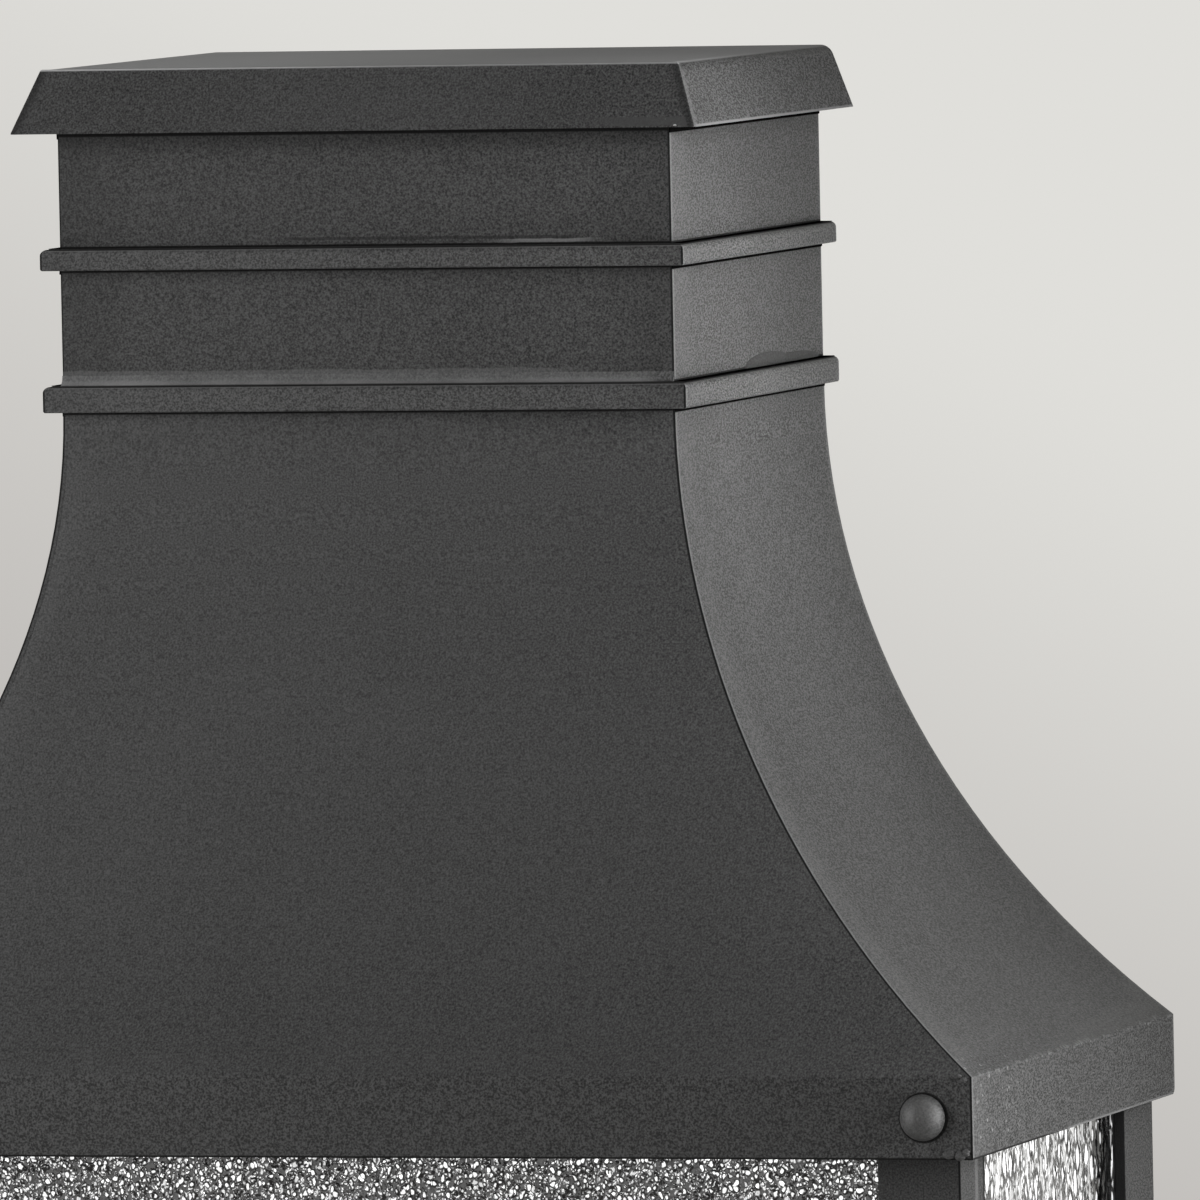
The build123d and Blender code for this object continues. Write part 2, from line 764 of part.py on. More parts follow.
with BuildPart() as cluster_hub:
    low = hub_z - hub_height / 2
    high = hub_z + hub_height / 2
    step = (hub_radius - hub_neck_radius) / 2
    waist = [(0, low), (hub_neck_radius, low), (hub_radius, low + step)]
    waist += [(hub_radius, high - step), (hub_neck_radius, high)]
    neck = [(arm_radius, high), (arm_radius, drip_z), (0, drip_z)]
    turned(cluster_axis, waist + neck)
    with BuildSketch(Plane.YZ):
        with Locations((-cluster_reach, hub_z)):
            Circle(arm_boss_radius)
    extrude(amount=arm_boss_reach, both=True)
    with BuildSketch(Plane.YZ.offset(arm_boss_reach - arm_socket_depth)):
        with Locations((-cluster_reach, hub_z)):
            Circle(arm_radius + stem_play)
    extrude(amount=arm_socket_depth, mode=Mode.SUBTRACT)
    with BuildSketch(Plane.YZ.offset(arm_socket_depth - arm_boss_reach)):
        with Locations((-cluster_reach, hub_z)):
            Circle(arm_radius + stem_play)
    extrude(amount=-arm_socket_depth, mode=Mode.SUBTRACT)
    with BuildSketch(Plane.XY.offset(low)):
        with Locations((0, -cluster_reach)):
            Circle(stem_bore)
    extrude(amount=hub_height / 2, mode=Mode.SUBTRACT)
save(cluster_hub, "cluster_hub")

with BuildPart() as arm_right:
    with BuildLine(Plane.XZ.offset(cluster_reach)):
        start = (arm_boss_reach - arm_socket_depth, hub_z)
        level = Line(start, (start[0] + arm_straight, hub_z))
        dip = JernArc(level @ 1, level % 1, arm_dip_radius, -arm_dip_angle)
        swing = JernArc(dip @ 1, dip % 1, swing_radius, 90 + arm_dip_angle)
        Line(swing @ 1, swing @ 1 + (0, arm_riser))
    with BuildSketch(Plane.YZ.offset(start[0])):
        with Locations((-cluster_reach, hub_z)):
            Circle(arm_radius)
    sweep()
save(arm_right, "arm_right")

with BuildPart() as arm_left:
    add(arm_right.part.mirror(Plane.YZ))
save(arm_left, "arm_left")

# One candle: drip pan, sleeve, lampholder and lamp

sleeve_z = drip_z + drip_wall
sleeve_top_z = sleeve_z + sleeve_height
holder_z = sleeve_top_z - holder_height
lamp_cap_z = sleeve_top_z - lamp_cap_height
bulb_z = sleeve_top_z + seat_gap

with BuildSketch() as bulb_envelope:
    with BuildLine():
        belly = (bulb_radius, bulb_z + bulb_belly_rise)
        foot = (bulb_neck_radius, bulb_z)
        tip = (bulb_tip_radius, bulb_z + bulb_height)
        TangentArc(belly, foot, tangent=(0, -1))
        TangentArc(belly, tip, tangent=(0, 1))
        Line(foot, (0, foot[1]))
        Line(tip, (0, tip[1]))
        mirror(about=Plane.YZ)
    make_face()

with BuildSketch() as bulb_section:
    add(bulb_envelope.sketch)
    offset(bulb_envelope.sketch, amount=-bulb_wall, mode=Mode.SUBTRACT)
    with Locations((0, bulb_z)):
        Rectangle(2 * bulb_radius, 3 * bulb_height, align=(Align.MAX, Align.CENTER), mode=Mode.SUBTRACT)

candle_places = (("left", -candle_spacing), ("middle", 0.0), ("right", candle_spacing))
for candle_name, candle_x in candle_places:
    axis = upright(candle_x, cluster_reach, 0)
    with BuildPart() as drip_pan:
        rim_z = drip_z + drip_height
        outside = [(0, drip_z), (drip_floor_radius, drip_z), (drip_radius, rim_z)]
        inside = [(drip_radius - drip_wall, rim_z), (drip_floor_radius - drip_wall / 2, sleeve_z)]
        turned(axis, outside + inside + [(0, sleeve_z)])
    save(drip_pan, f"drip_pan_{candle_name}")

    with BuildPart() as candle_sleeve:
        turned(axis, tube_outline(sleeve_radius, sleeve_bore_radius, sleeve_z, sleeve_top_z))
    save(candle_sleeve, f"candle_sleeve_{candle_name}")

    with BuildPart() as lampholder:
        floor = sleeve_top_z - holder_bore_depth
        outside = [(0, sleeve_z), (holder_nipple_radius, sleeve_z), (holder_nipple_radius, holder_z)]
        outside += [(holder_radius, holder_z), (holder_radius, sleeve_top_z)]
        inside = [(holder_bore_radius, sleeve_top_z), (holder_bore_radius, floor), (0, floor)]
        turned(axis, outside + inside)
    save(lampholder, f"lampholder_{candle_name}")

    with BuildPart() as lamp_bulb:
        with BuildSketch(axis):
            add(bulb_section.sketch)
        revolve(axis=Axis(axis.origin, axis.y_dir))
    save(lamp_bulb, f"lamp_bulb_{candle_name}")

with BuildPart() as lamp_bases:
    for candle_name, candle_x in candle_places:
        outside = [(0, bulb_z), (lamp_cap_radius, bulb_z), (lamp_cap_radius, lamp_cap_z)]
        tip = [(lamp_tip_radius, lamp_cap_z - lamp_tip_height), (0, lamp_cap_z - lamp_tip_height)]
        turned(upright(candle_x, cluster_reach, 0), outside + tip)
save(lamp_bases, "lamp_bases")

filament_z = bulb_z + bulb_wall + filament_stem_height
with BuildPart() as lamp_filaments:
    for candle_name, candle_x in candle_places:
        with BuildSketch(Plane.XY.offset(bulb_z + bulb_wall)):
            with Locations((candle_x, -cluster_reach)):
                Circle(filament_stem_radius)
        extrude(amount=filament_stem_height)
        for disc_z in (filament_z, filament_z + filament_height):
            with BuildSketch(Plane.XY.offset(disc_z)):
                with Locations((candle_x, -cluster_reach)):
                    RegularPolygon(filament_disc_radius, 12)
            extrude(amount=filament_disc_height)
        with BuildSketch(Plane.XY.offset(filament_z)):
            with Locations((candle_x, -cluster_reach)):
                with PolarLocations(filament_ring_radius, filament_count):
                    RegularPolygon(filament_radius, 6)
        extrude(amount=filament_height)
save(lamp_filaments, "lamp_filaments")

# Leads: down the stem, back along the bottom pan, and up inside the back pan to the wire joints

lead_low_z = bottom_z + bottom_wall + lead_floor_gap + lead_radius
lead_start_z = tray_z + lead_bend - lead_radius


def lead_tube(route, bends):
    """Round tube along straight runs joined by tangent arcs."""
    with BuildLine() as path:
        FilletPolyline(*route, radius=bends)
    with BuildSketch(Plane(path.line @ 0, z_dir=path.line % 0)) as section:
        Circle(lead_radius)
    sweep(section.sketch, path.line)


for lead_name, lead_x in (("line_lead", -1), ("neutral_lead", 1)):
    with BuildPart() as lead:
        start_x = lead_x * lead_spacing
        end_x = lead_x * lead_fan_x
        lead_route = [
            (start_x, -cluster_reach, lead_start_z),
            (start_x, -cluster_reach, lead_low_z),
            (start_x, -lead_reach, lead_low_z),
            (start_x, -lead_reach, lead_fan_z),
            (end_x, -lead_reach, lead_fan_top_z),
            (end_x, -lead_reach, lead_top_z),
        ]
        lead_tube(lead_route, [lead_bend, lead_bend, lead_fan_bend, lead_fan_bend])
    save(lead, lead_name)

with BuildPart() as ground_lead:
    ground_reach = crossbar_thickness + lead_radius + stud_play
    ground_route = [
        (0, -cluster_reach, lead_start_z),
        (0, -cluster_reach, lead_low_z),
        (0, -lead_reach, lead_low_z),
        (0, -lead_reach, lead_fan_z),
        (ground_screw_x, -lead_reach, lead_fan_top_z),
        (ground_screw_x, -lead_reach, ground_turn_z),
        (ground_screw_x, -ground_reach, ground_turn_top_z),
        (ground_screw_x, -ground_reach, -ground_head_radius),
    ]
    lead_tube(ground_route, [lead_bend, lead_bend, lead_fan_bend, lead_fan_bend, lead_bend, lead_bend])
save(ground_lead, "ground_lead")

with BuildPart() as wire_grommet:
    flange_low_z = tray_z - grommet_flange
    seat_top_z = floor_z + pan_wall
    flange_top_z = seat_top_z + grommet_flange
    lower = [(grommet_bore_radius, flange_low_z), (grommet_flange_radius, flange_low_z)]
    lower += [(grommet_flange_radius, tray_z), (grommet_radius, tray_z)]
    upper = [(grommet_radius, seat_top_z), (grommet_flange_radius, seat_top_z)]
    upper += [(grommet_flange_radius, flange_top_z), (grommet_bore_radius, flange_top_z)]
    turned(upright(0, lead_reach, 0), lower + upper)
save(wire_grommet, "wire_grommet")

with BuildPart() as wire_connectors:
    mouth_z = lead_top_z - connector_grip
    for side in (-1, 1):
        skin = [(connector_mouth_radius, mouth_z), (connector_top_radius, mouth_z + connector_height)]
        bore = [(0, mouth_z + connector_height), (0, lead_top_z), (connector_bore_radius, lead_top_z)]
        turned(upright(side * lead_fan_x, lead_reach, 0), skin + bore + [(connector_bore_radius, mouth_z)])
save(wire_connectors, "wire_connectors")
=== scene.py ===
# %% [markdown]
# # A black wall lantern, dressed for its picture
# The lantern's metalwork arrives as a finished frame of separate pieces, each already at its real size and
# place. This lesson only dresses it: a camera, soft studio light, a textured black coat, seeded glass and
# the small marks that welding leaves. Everything is in metres, with the wall at y = 0 and the lantern
# standing out along -Y.

# %% Load the frame
import json
import math

import bpy
from mathutils import Matrix, Vector


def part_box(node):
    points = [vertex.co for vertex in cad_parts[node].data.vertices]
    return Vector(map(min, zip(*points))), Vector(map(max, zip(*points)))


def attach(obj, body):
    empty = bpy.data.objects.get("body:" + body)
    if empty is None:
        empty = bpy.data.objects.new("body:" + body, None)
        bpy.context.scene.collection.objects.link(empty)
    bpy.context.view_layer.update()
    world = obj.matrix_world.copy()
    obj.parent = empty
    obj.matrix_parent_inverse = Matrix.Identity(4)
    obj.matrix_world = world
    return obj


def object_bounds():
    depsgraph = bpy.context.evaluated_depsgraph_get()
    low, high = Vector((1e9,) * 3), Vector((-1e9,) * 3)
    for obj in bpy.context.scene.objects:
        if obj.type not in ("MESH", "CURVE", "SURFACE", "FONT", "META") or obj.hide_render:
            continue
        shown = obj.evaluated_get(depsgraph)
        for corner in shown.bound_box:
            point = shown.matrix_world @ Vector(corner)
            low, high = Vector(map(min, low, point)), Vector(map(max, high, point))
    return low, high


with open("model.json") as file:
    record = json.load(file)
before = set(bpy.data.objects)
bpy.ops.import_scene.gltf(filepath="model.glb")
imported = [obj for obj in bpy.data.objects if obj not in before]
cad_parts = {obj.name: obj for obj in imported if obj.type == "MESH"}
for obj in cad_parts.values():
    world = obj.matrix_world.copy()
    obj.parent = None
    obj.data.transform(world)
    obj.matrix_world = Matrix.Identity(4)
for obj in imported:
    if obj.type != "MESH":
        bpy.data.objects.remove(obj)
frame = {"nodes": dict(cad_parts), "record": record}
nodes = frame["nodes"]
cad_low, cad_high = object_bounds()
MM = 0.001
print("frame:", len(nodes), "pieces,", [round(v, 3) for v in (cad_high - cad_low)])

# %% [markdown]
# ## The camera
# The picture is a close crop taken with a very long lens from the right of the lantern and a little above,
# so its upright lines stay almost parallel. The three angles and the distance came from lining up the
# hood's corners with the photograph. The lens is long enough for the hood alone to fill the square.

# %% Camera
CAMERA_YAW = math.radians(16.1517)
CAMERA_PITCH = math.radians(3.1226)
CAMERA_ROLL = math.radians(-1.1631)
CAMERA_PLACE = Vector((1.27398, -4.33994, 0.39087))
LENS_MM = 585.555
SENSOR_MM = 36.0

camera_data = bpy.data.cameras.new("camera")
camera = bpy.data.objects.new("camera", camera_data)
bpy.context.scene.collection.objects.link(camera)
bpy.context.scene.camera = camera
turn = Matrix.Rotation(CAMERA_YAW, 4, "Z")
tilt = Matrix.Rotation(math.pi / 2 - CAMERA_PITCH, 4, "X")
lean = Matrix.Rotation(CAMERA_ROLL, 4, "Z")
camera.matrix_world = Matrix.Translation(CAMERA_PLACE) @ turn @ tilt @ lean
camera_data.lens = LENS_MM
camera_data.sensor_width = SENSOR_MM
camera_data.clip_start = 0.1
camera_data.clip_end = 100.0
print("camera:", [round(v, 3) for v in CAMERA_PLACE], "lens", LENS_MM)

# %% [markdown]
# ## Colours as a painter names them
# A picture's greys are given from 0 to 255 as a screen shows them, while a shader works in linear light.
# One small helper turns the first into the second, so every colour below can be compared with the
# photograph.


# %% Colour helper
def shown(*levels):
    """Linear RGBA for a colour that a screen shows at these levels; one level alone is a grey."""
    parts = [level / 255 for level in levels]
    linear = [part / 12.92 if part <= 0.04045 else ((part + 0.055) / 1.055) ** 2.4 for part in parts]
    return (*(linear if len(linear) == 3 else linear * 3), 1.0)


print("mid grey is", round(shown(128)[0], 3), "in linear light")

# %% [markdown]
# ## Shorthand for shader nodes
# The world and every material are trees of small nodes joined by links. In Python a node takes a few lines
# to add, set and link, so these helpers say it in one line and hand back the result.

# %% Node helpers


def add_node(tree, kind, **settings):
    """A new node with its properties and its unlinked inputs set by name."""
    node = tree.nodes.new(kind)
    for name, value in settings.items():
        if name == "inputs":
            for socket, number in value.items():
                node.inputs[socket].default_value = number
        else:
            setattr(node, name, value)
    return node


def link(tree, source, target):
    """Join two sockets."""
    tree.links.new(source, target)


def fill(tree, node, terms):
    """Give a node's inputs, in their order, a socket's value or a fixed one."""
    for slot, term in zip(node.inputs, terms):
        if isinstance(term, (int, float, tuple, Vector)):
            slot.default_value = term
        else:
            link(tree, term, slot)


def maths(tree, operation, *terms, clamp=False):
    """A Math node on sockets and numbers; gives back its result socket."""
    node = add_node(tree, "ShaderNodeMath", operation=operation, use_clamp=clamp)
    fill(tree, node, terms)
    return node.outputs[0]


def vector_maths(tree, operation, *terms):
    """A Vector Math node on sockets and fixed vectors; gives back its result socket."""
    node = add_node(tree, "ShaderNodeVectorMath", operation=operation)
    fill(tree, node, terms)
    return node.outputs["Value" if operation in ("DOT_PRODUCT", "LENGTH") else "Vector"]


def inverse(tree, value):
    """One minus a value."""
    return maths(tree, "SUBTRACT", 1.0, value)


def ramp(tree, value, start, end, low=0.0, high=1.0):
    """A value carried smoothly from low to high as it goes from start to end, and held outside."""
    node = add_node(tree, "ShaderNodeMapRange", interpolation_type="SMOOTHSTEP")
    for socket, number in (("From Min", start), ("From Max", end), ("To Min", low), ("To Max", high)):
        node.inputs[socket].default_value = number
    link(tree, value, node.inputs["Value"])
    return node.outputs["Result"]


def mixed(tree, factor, first, second):
    """A blend of two fixed colours."""
    node = add_node(tree, "ShaderNodeMix", data_type="RGBA", inputs={"A": first, "B": second})
    link(tree, factor, node.inputs["Factor"])
    return node.outputs["Result"]


def mixed_shader(tree, factor, first, second):
    """A blend of two shaders."""
    node = add_node(tree, "ShaderNodeMixShader")
    link(tree, factor, node.inputs["Fac"])
    link(tree, first.outputs[0], node.inputs[1])
    link(tree, second.outputs[0], node.inputs[2])
    return node


def looked_at(tree, ray):
    """One for a ray that looks straight at something, in a mirror or through glass."""
    seen = maths(tree, "MAXIMUM", ray.outputs["Is Camera Ray"], ray.outputs["Is Transmission Ray"])
    return maths(tree, "MAXIMUM", seen, ray.outputs["Is Glossy Ray"])


print("node helpers:", [helper.__name__ for helper in (add_node, link, maths, vector_maths, ramp, mixed)])

# %% [markdown]
# ## The room
# Product pictures of black metal are lit by large soft surfaces, because a black coat is mostly seen by
# what it reflects. The world stands for the studio all round: six brightnesses, one each way, blended by
# the square of the direction. What looks straight at it, in a mirror or through glass sees a pale backdrop
# instead, which darkens towards the lower left as in the photograph. That keeps the backdrop's tone apart
# from the soft light that falls on the lantern. Seen from any other side, the backdrop is pale all over.

# %% World
BACKDROP_LIGHT = shown(224, 223, 219)
BACKDROP_DARK = shown(177, 173, 170)
RAMP_START = 0.378
RAMP_SOFT = 0.15
RAMP_SLOPE = Vector((-7.9, -16.3, 0.0))
AHEAD = Vector((0.0, 0.0, -1.0))
PICTURE_EDGE = math.cos(math.radians(3.0))
PALE_AGAIN = math.cos(math.radians(6.0))
STUDIO = {"left": 0.23, "right": 0.0, "front": 0.0, "back": 0.25, "above": 0.16, "below": 0.34}

bpy.context.scene.view_settings.view_transform = "Standard"
world = bpy.data.worlds.new("studio")
bpy.context.scene.world = world
world.use_nodes = True
tree = world.node_tree
tree.nodes.clear()

look = add_node(tree, "ShaderNodeTexCoord").outputs["Generated"]
ray = add_node(tree, "ShaderNodeLightPath")
camera_axes = camera.matrix_world.to_3x3()
slope = vector_maths(tree, "DOT_PRODUCT", look, camera_axes @ RAMP_SLOPE)
darker = maths(tree, "SMOOTH_MAX", maths(tree, "ADD", slope, RAMP_START), 0.0, RAMP_SOFT)
straight = vector_maths(tree, "DOT_PRODUCT", look, camera_axes @ AHEAD)
outside = ramp(tree, straight, PICTURE_EDGE, PALE_AGAIN)
paler = maths(tree, "MULTIPLY", outside, ray.outputs["Is Camera Ray"])
darker = maths(tree, "MULTIPLY", maths(tree, "MINIMUM", darker, 1.0), inverse(tree, paler))

sides = add_node(tree, "ShaderNodeSeparateXYZ")
link(tree, look, sides.inputs[0])
studio = 0.0
for axis, low_side, high_side in (("X", "left", "right"), ("Y", "front", "back"), ("Z", "below", "above")):
    along = sides.outputs[axis]
    upper = maths(tree, "GREATER_THAN", along, 0.0)
    level = maths(tree, "MULTIPLY_ADD", upper, STUDIO[high_side] - STUDIO[low_side], STUDIO[low_side])
    studio = maths(tree, "MULTIPLY_ADD", maths(tree, "MULTIPLY", along, along), level, studio)
room_light = add_node(tree, "ShaderNodeBackground")
link(tree, studio, room_light.inputs["Color"])
pale_wall = add_node(tree, "ShaderNodeBackground")
link(tree, mixed(tree, darker, BACKDROP_LIGHT, BACKDROP_DARK), pale_wall.inputs["Color"])
either = mixed_shader(tree, looked_at(tree, ray), room_light, pale_wall)
world_out = add_node(tree, "ShaderNodeOutputWorld")
link(tree, either.outputs[0], world_out.inputs["Surface"])
print("world:", len(tree.nodes), "nodes")

# %% [markdown]
# ## Lamps
# The photograph's right-hand faces are far brighter than the front, and brightest along their front edge.
# That is light from close by on the right: small soft lamps stacked beside the front edge, so that their
# light dies away towards the wall, and a few narrow ones that lift the cap, the middle of the chimney and
# the rear posts. One large lamp far off on the left lights the front faces evenly, a little more on their
# left half, and one behind is for the views of the wall side alone.

# %% Lamps


def soft_lamp(name, place, aim, width, tall, watts, spread):
    """A rectangular area lamp at a place, facing a point, with its beam narrowed to a spread in degrees."""
    data = bpy.data.lights.new(name, "AREA")
    data.shape = "RECTANGLE"
    data.size = width
    data.size_y = tall
    data.energy = watts
    data.spread = math.radians(spread)
    lamp = bpy.data.objects.new(name, data)
    bpy.context.scene.collection.objects.link(lamp)
    lamp.location = place
    lamp.rotation_euler = (Vector(aim) - Vector(place)).to_track_quat("-Z", "Y").to_euler()
    lamp.visible_camera = False
    return lamp


# (place, point it faces, width, height, watts, spread in degrees)
LAMPS = {
    "chimney_lamp": ((0.30, -0.15, 0.26), (0.08, -0.10, 0.24), 0.08, 0.12, 0.101, 180.0),
    "hood_lamp": ((0.32, -0.17, 0.12), (0.10, -0.12, 0.12), 0.08, 0.16, 0.511, 180.0),
    "fascia_lamp": ((0.33, -0.20, 0.02), (0.15, -0.15, 0.03), 0.08, 0.12, 0.335, 180.0),
    "band_lamp": ((0.50, -0.17, 0.25), (0.08, -0.09, 0.205), 0.04, 0.04, 0.008, 14.0),
    "side_lamp": ((0.45, -0.05, 0.20), (0.08, -0.06, 0.19), 0.10, 0.10, 0.085, 40.0),
    "cap_lamp": ((0.22, -0.15, 0.285), (0.085, -0.12, 0.265), 0.04, 0.04, 0.022, 50.0),
    "post_lamp": ((0.40, -0.10, 0.10), (0.14, -0.03, -0.05), 0.08, 0.08, 0.042, 40.0),
    "left_lamp": ((-0.75, -0.75, 0.25), (0.0, -0.15, 0.1), 0.4, 0.8, 9.8, 180.0),
    "back_lamp": ((0.0, 1.6, 0.0), (0.0, 0.0, 0.0), 0.3, 0.6, 8.0, 180.0),
}
lamps = {name: soft_lamp(name, *row) for name, row in LAMPS.items()}
lamps["back_lamp"].visible_glossy = False
print("lamps:", list(lamps))

# %% [markdown]
# ## The floor
# The lantern hangs on a wall in use, so nothing touches the floor. It is there as the pale ground of the
# picture's other views. What looks at it sees mostly a pale glow of its own, so that it stays even whatever
# the lamps do. It fades out at the rim, so that no edge shows against the backdrop, and from below it isn't
# there.

# %% Floor
FLOOR_DROP = 0.12
FLOOR_RADIUS = 1.6
FLOOR_FADE = 0.35 * FLOOR_RADIUS
FLOOR_COLOUR = shown(232, 230, 226)
GLOW_COLOUR = shown(222, 221, 217)
GLOW_SHARE = 0.85


def object_place(tree):
    """The point being shaded, in Object coordinates."""
    return add_node(tree, "ShaderNodeTexCoord").outputs["Object"]


bpy.ops.object.select_all(action="DESELECT")
bpy.ops.mesh.primitive_circle_add(
    vertices=64, radius=FLOOR_RADIUS, fill_type="NGON", location=(0, 0, cad_low.z - FLOOR_DROP)
)
floor = bpy.context.object
floor.name = "floor"
floor_paint = bpy.data.materials.new("floor_paint")
floor_paint.use_nodes = True
tree = floor_paint.node_tree
tree.nodes.clear()
fade = ramp(tree, vector_maths(tree, "LENGTH", object_place(tree)), FLOOR_FADE, FLOOR_RADIUS)
matt = add_node(tree, "ShaderNodeBsdfDiffuse", inputs={"Color": FLOOR_COLOUR})
glow = add_node(tree, "ShaderNodeEmission", inputs={"Color": GLOW_COLOUR})
seen = looked_at(tree, add_node(tree, "ShaderNodeLightPath"))
even = mixed_shader(tree, maths(tree, "MULTIPLY", seen, GLOW_SHARE), matt, glow)
clear = add_node(tree, "ShaderNodeBsdfTransparent")
underside = add_node(tree, "ShaderNodeNewGeometry").outputs["Backfacing"]
blend = mixed_shader(tree, maths(tree, "MAXIMUM", fade, underside), even, clear)
floor_out = add_node(tree, "ShaderNodeOutputMaterial")
link(tree, blend.outputs[0], floor_out.inputs["Surface"])
floor.data.materials.append(floor_paint)
print("floor:", len(tree.nodes), "nodes")

# %% [markdown]
# ## Powder coat, as a node group
# Fine-texture powder coat is not smooth: it cures into a skin of tiny soft bumps about half a millimetre
# apart, with a slow unevenness behind them. Most of the lantern wears it, so the pattern is one group, placed
# in each coated material with its own strengths. It reads Object coordinates, which every piece of the frame
# shares, so the grain runs on from one piece to the next at one scale. It is drawn out from front to back. On
# the side faces both its bumps and its colour contrast are stronger. The stronger colour contrast is painted
# light, standing in for the raking light that shows the grain more there.

# %% Coat group


def new_group(name, inputs, outputs):
    """An empty shader node group with named float inputs and named outputs."""
    group = bpy.data.node_groups.new(name, "ShaderNodeTree")
    for label, value in inputs.items():
        socket = group.interface.new_socket(label, in_out="INPUT", socket_type="NodeSocketFloat")
        socket.default_value = value
    for label in outputs:
        group.interface.new_socket(label, in_out="OUTPUT", socket_type="NodeSocketFloat")
    return group, group.nodes.new("NodeGroupInput"), group.nodes.new("NodeGroupOutput")


def noise(tree, vector, per_metre, detail=2.0):
    """Soft noise at so many cells to the metre."""
    node = add_node(tree, "ShaderNodeTexNoise", inputs={"Scale": per_metre, "Detail": detail})
    link(tree, vector, node.inputs["Vector"])
    return node.outputs["Fac"]


def swing(tree, value, amount):
    """How far a value is from a half, times an amount."""
    return maths(tree, "MULTIPLY", maths(tree, "SUBTRACT", value, 0.5), amount)


GRAIN_PER_METRE = 2300.0
GRAIN_LENGTH = (1.0, 0.4, 1.0)
GRAIN_TONE = 2.36
SIDE_FACING = (0.5, 0.9)
SIDE_GAIN = 1.6
CLOUD_PER_METRE = 28.0
CLOUD_TONE = 0.18

coat_group, given, result = new_group("coat_grain", {"Grain": 1.0}, ("Height", "Tone"))
tree = coat_group
spot = add_node(tree, "ShaderNodeTexCoord")
facing = add_node(tree, "ShaderNodeSeparateXYZ")
link(tree, spot.outputs["Normal"], facing.inputs[0])
sideways = maths(tree, "ABSOLUTE", facing.outputs["X"])
# Side faces get stronger grain: real relief, plus colour contrast that is painted light for raking light
gain = ramp(tree, sideways, *SIDE_FACING, 1.0, SIDE_GAIN)
gain = maths(tree, "MULTIPLY", gain, given.outputs["Grain"])
drawn = vector_maths(tree, "MULTIPLY", spot.outputs["Object"], GRAIN_LENGTH)
grain = noise(tree, drawn, GRAIN_PER_METRE)
cloud = noise(tree, spot.outputs["Object"], CLOUD_PER_METRE, 3.0)
slow = swing(tree, cloud, CLOUD_TONE)
tone = maths(tree, "MULTIPLY_ADD", swing(tree, grain, GRAIN_TONE), gain, slow)
link(tree, maths(tree, "MULTIPLY", grain, gain), result.inputs["Height"])
link(tree, tone, result.inputs["Tone"])
print("coat group:", len(tree.nodes), "nodes")

# %% [markdown]
# ## Where the folds and joints run
# A fine black line follows the front corner of the hood and chimney. Just round the corner lies a paler edge,
# which is a painted highlight, and on the front beside the corner lies a soft painted shade. The black lines
# along both bands and under the cap are painted shadow lines. They are masks of place, so the group first
# works out how far a point is from the corner. Above the neck the corner is straight, and below it the sheet
# follows the ellipse of the flare, worked out from its half height and the frame's own boxes.

# %% Seam group
chimney_low, chimney_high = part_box("chimney_shell")
hood_low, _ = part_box("hood_front_panel")
hood_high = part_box("hood_right_panel")[1]
crease_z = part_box("hood_rear_panel")[0].z
neck_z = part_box("hood_rear_panel")[1].z
lower_band_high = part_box("lower_band")[1]
upper_band_low, upper_band_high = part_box("upper_band")
cap_foot_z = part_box("cap_front_plate")[0].z
FLARE_SEMI_HEIGHT = 205.0 * MM
flare_sine = (neck_z - crease_z) / FLARE_SEMI_HEIGHT
flare_drop = 1.0 - math.sqrt(1.0 - flare_sine**2)
swing_x = (hood_high.x - chimney_high.x) / flare_drop
swing_y = (chimney_low.y - hood_low.y) / flare_drop

# Where each mask starts and ends, and its levels there if they aren't 0 and 1
FRONT_FACE = (0.45 * MM, 0.25 * MM)
SIDE_FACE = (0.25 * MM, 0.45 * MM)
FOLD_LINE = (0.60 * MM, 0.30 * MM)
# The rims are painted highlights, and the corner shade is painted shade
THIN_RIM = (2.6 * MM, 0.6 * MM)
WIDE_RIM = (22.0 * MM, 2.0 * MM, 0.0, 0.22)
REAR_RIM = (-2.4 * MM, -1.2 * MM, 0.0, 0.5)
CORNER_SHADE = (22.0 * MM, 1.0 * MM)


def spot_in(tree):
    """The X, Y and Z of the point being shaded."""
    spot = add_node(tree, "ShaderNodeSeparateXYZ")
    link(tree, object_place(tree), spot.inputs[0])
    return spot.outputs["X"], spot.outputs["Y"], spot.outputs["Z"]


seam_group, given, result = new_group("seams", {"Reach": 0.0}, ("Fold", "Rim", "Shade", "Front", "Side"))
tree = seam_group
x, y, z = spot_in(tree)
sine = maths(tree, "DIVIDE", maths(tree, "SUBTRACT", neck_z, z), FLARE_SEMI_HEIGHT)
sine = maths(tree, "MINIMUM", maths(tree, "MAXIMUM", sine, 0.0), flare_sine)
cosine = maths(tree, "SQRT", inverse(tree, maths(tree, "POWER", sine, 2.0)))
drop = inverse(tree, cosine)
corner_x = maths(tree, "MULTIPLY_ADD", drop, swing_x, chimney_high.x)
corner_y = maths(tree, "MULTIPLY_ADD", drop, swing_y, -chimney_low.y)
corner_x = maths(tree, "ADD", corner_x, given.outputs["Reach"])
corner_y = maths(tree, "ADD", corner_y, given.outputs["Reach"])
across = maths(tree, "SUBTRACT", corner_x, maths(tree, "ABSOLUTE", x))
back = maths(tree, "ADD", corner_y, y)
front = ramp(tree, back, *FRONT_FACE)
side = ramp(tree, back, *SIDE_FACE)
near_rim = maths(tree, "MAXIMUM", ramp(tree, back, *THIN_RIM), ramp(tree, back, *WIDE_RIM))
near_rim = maths(tree, "MULTIPLY", near_rim, side)
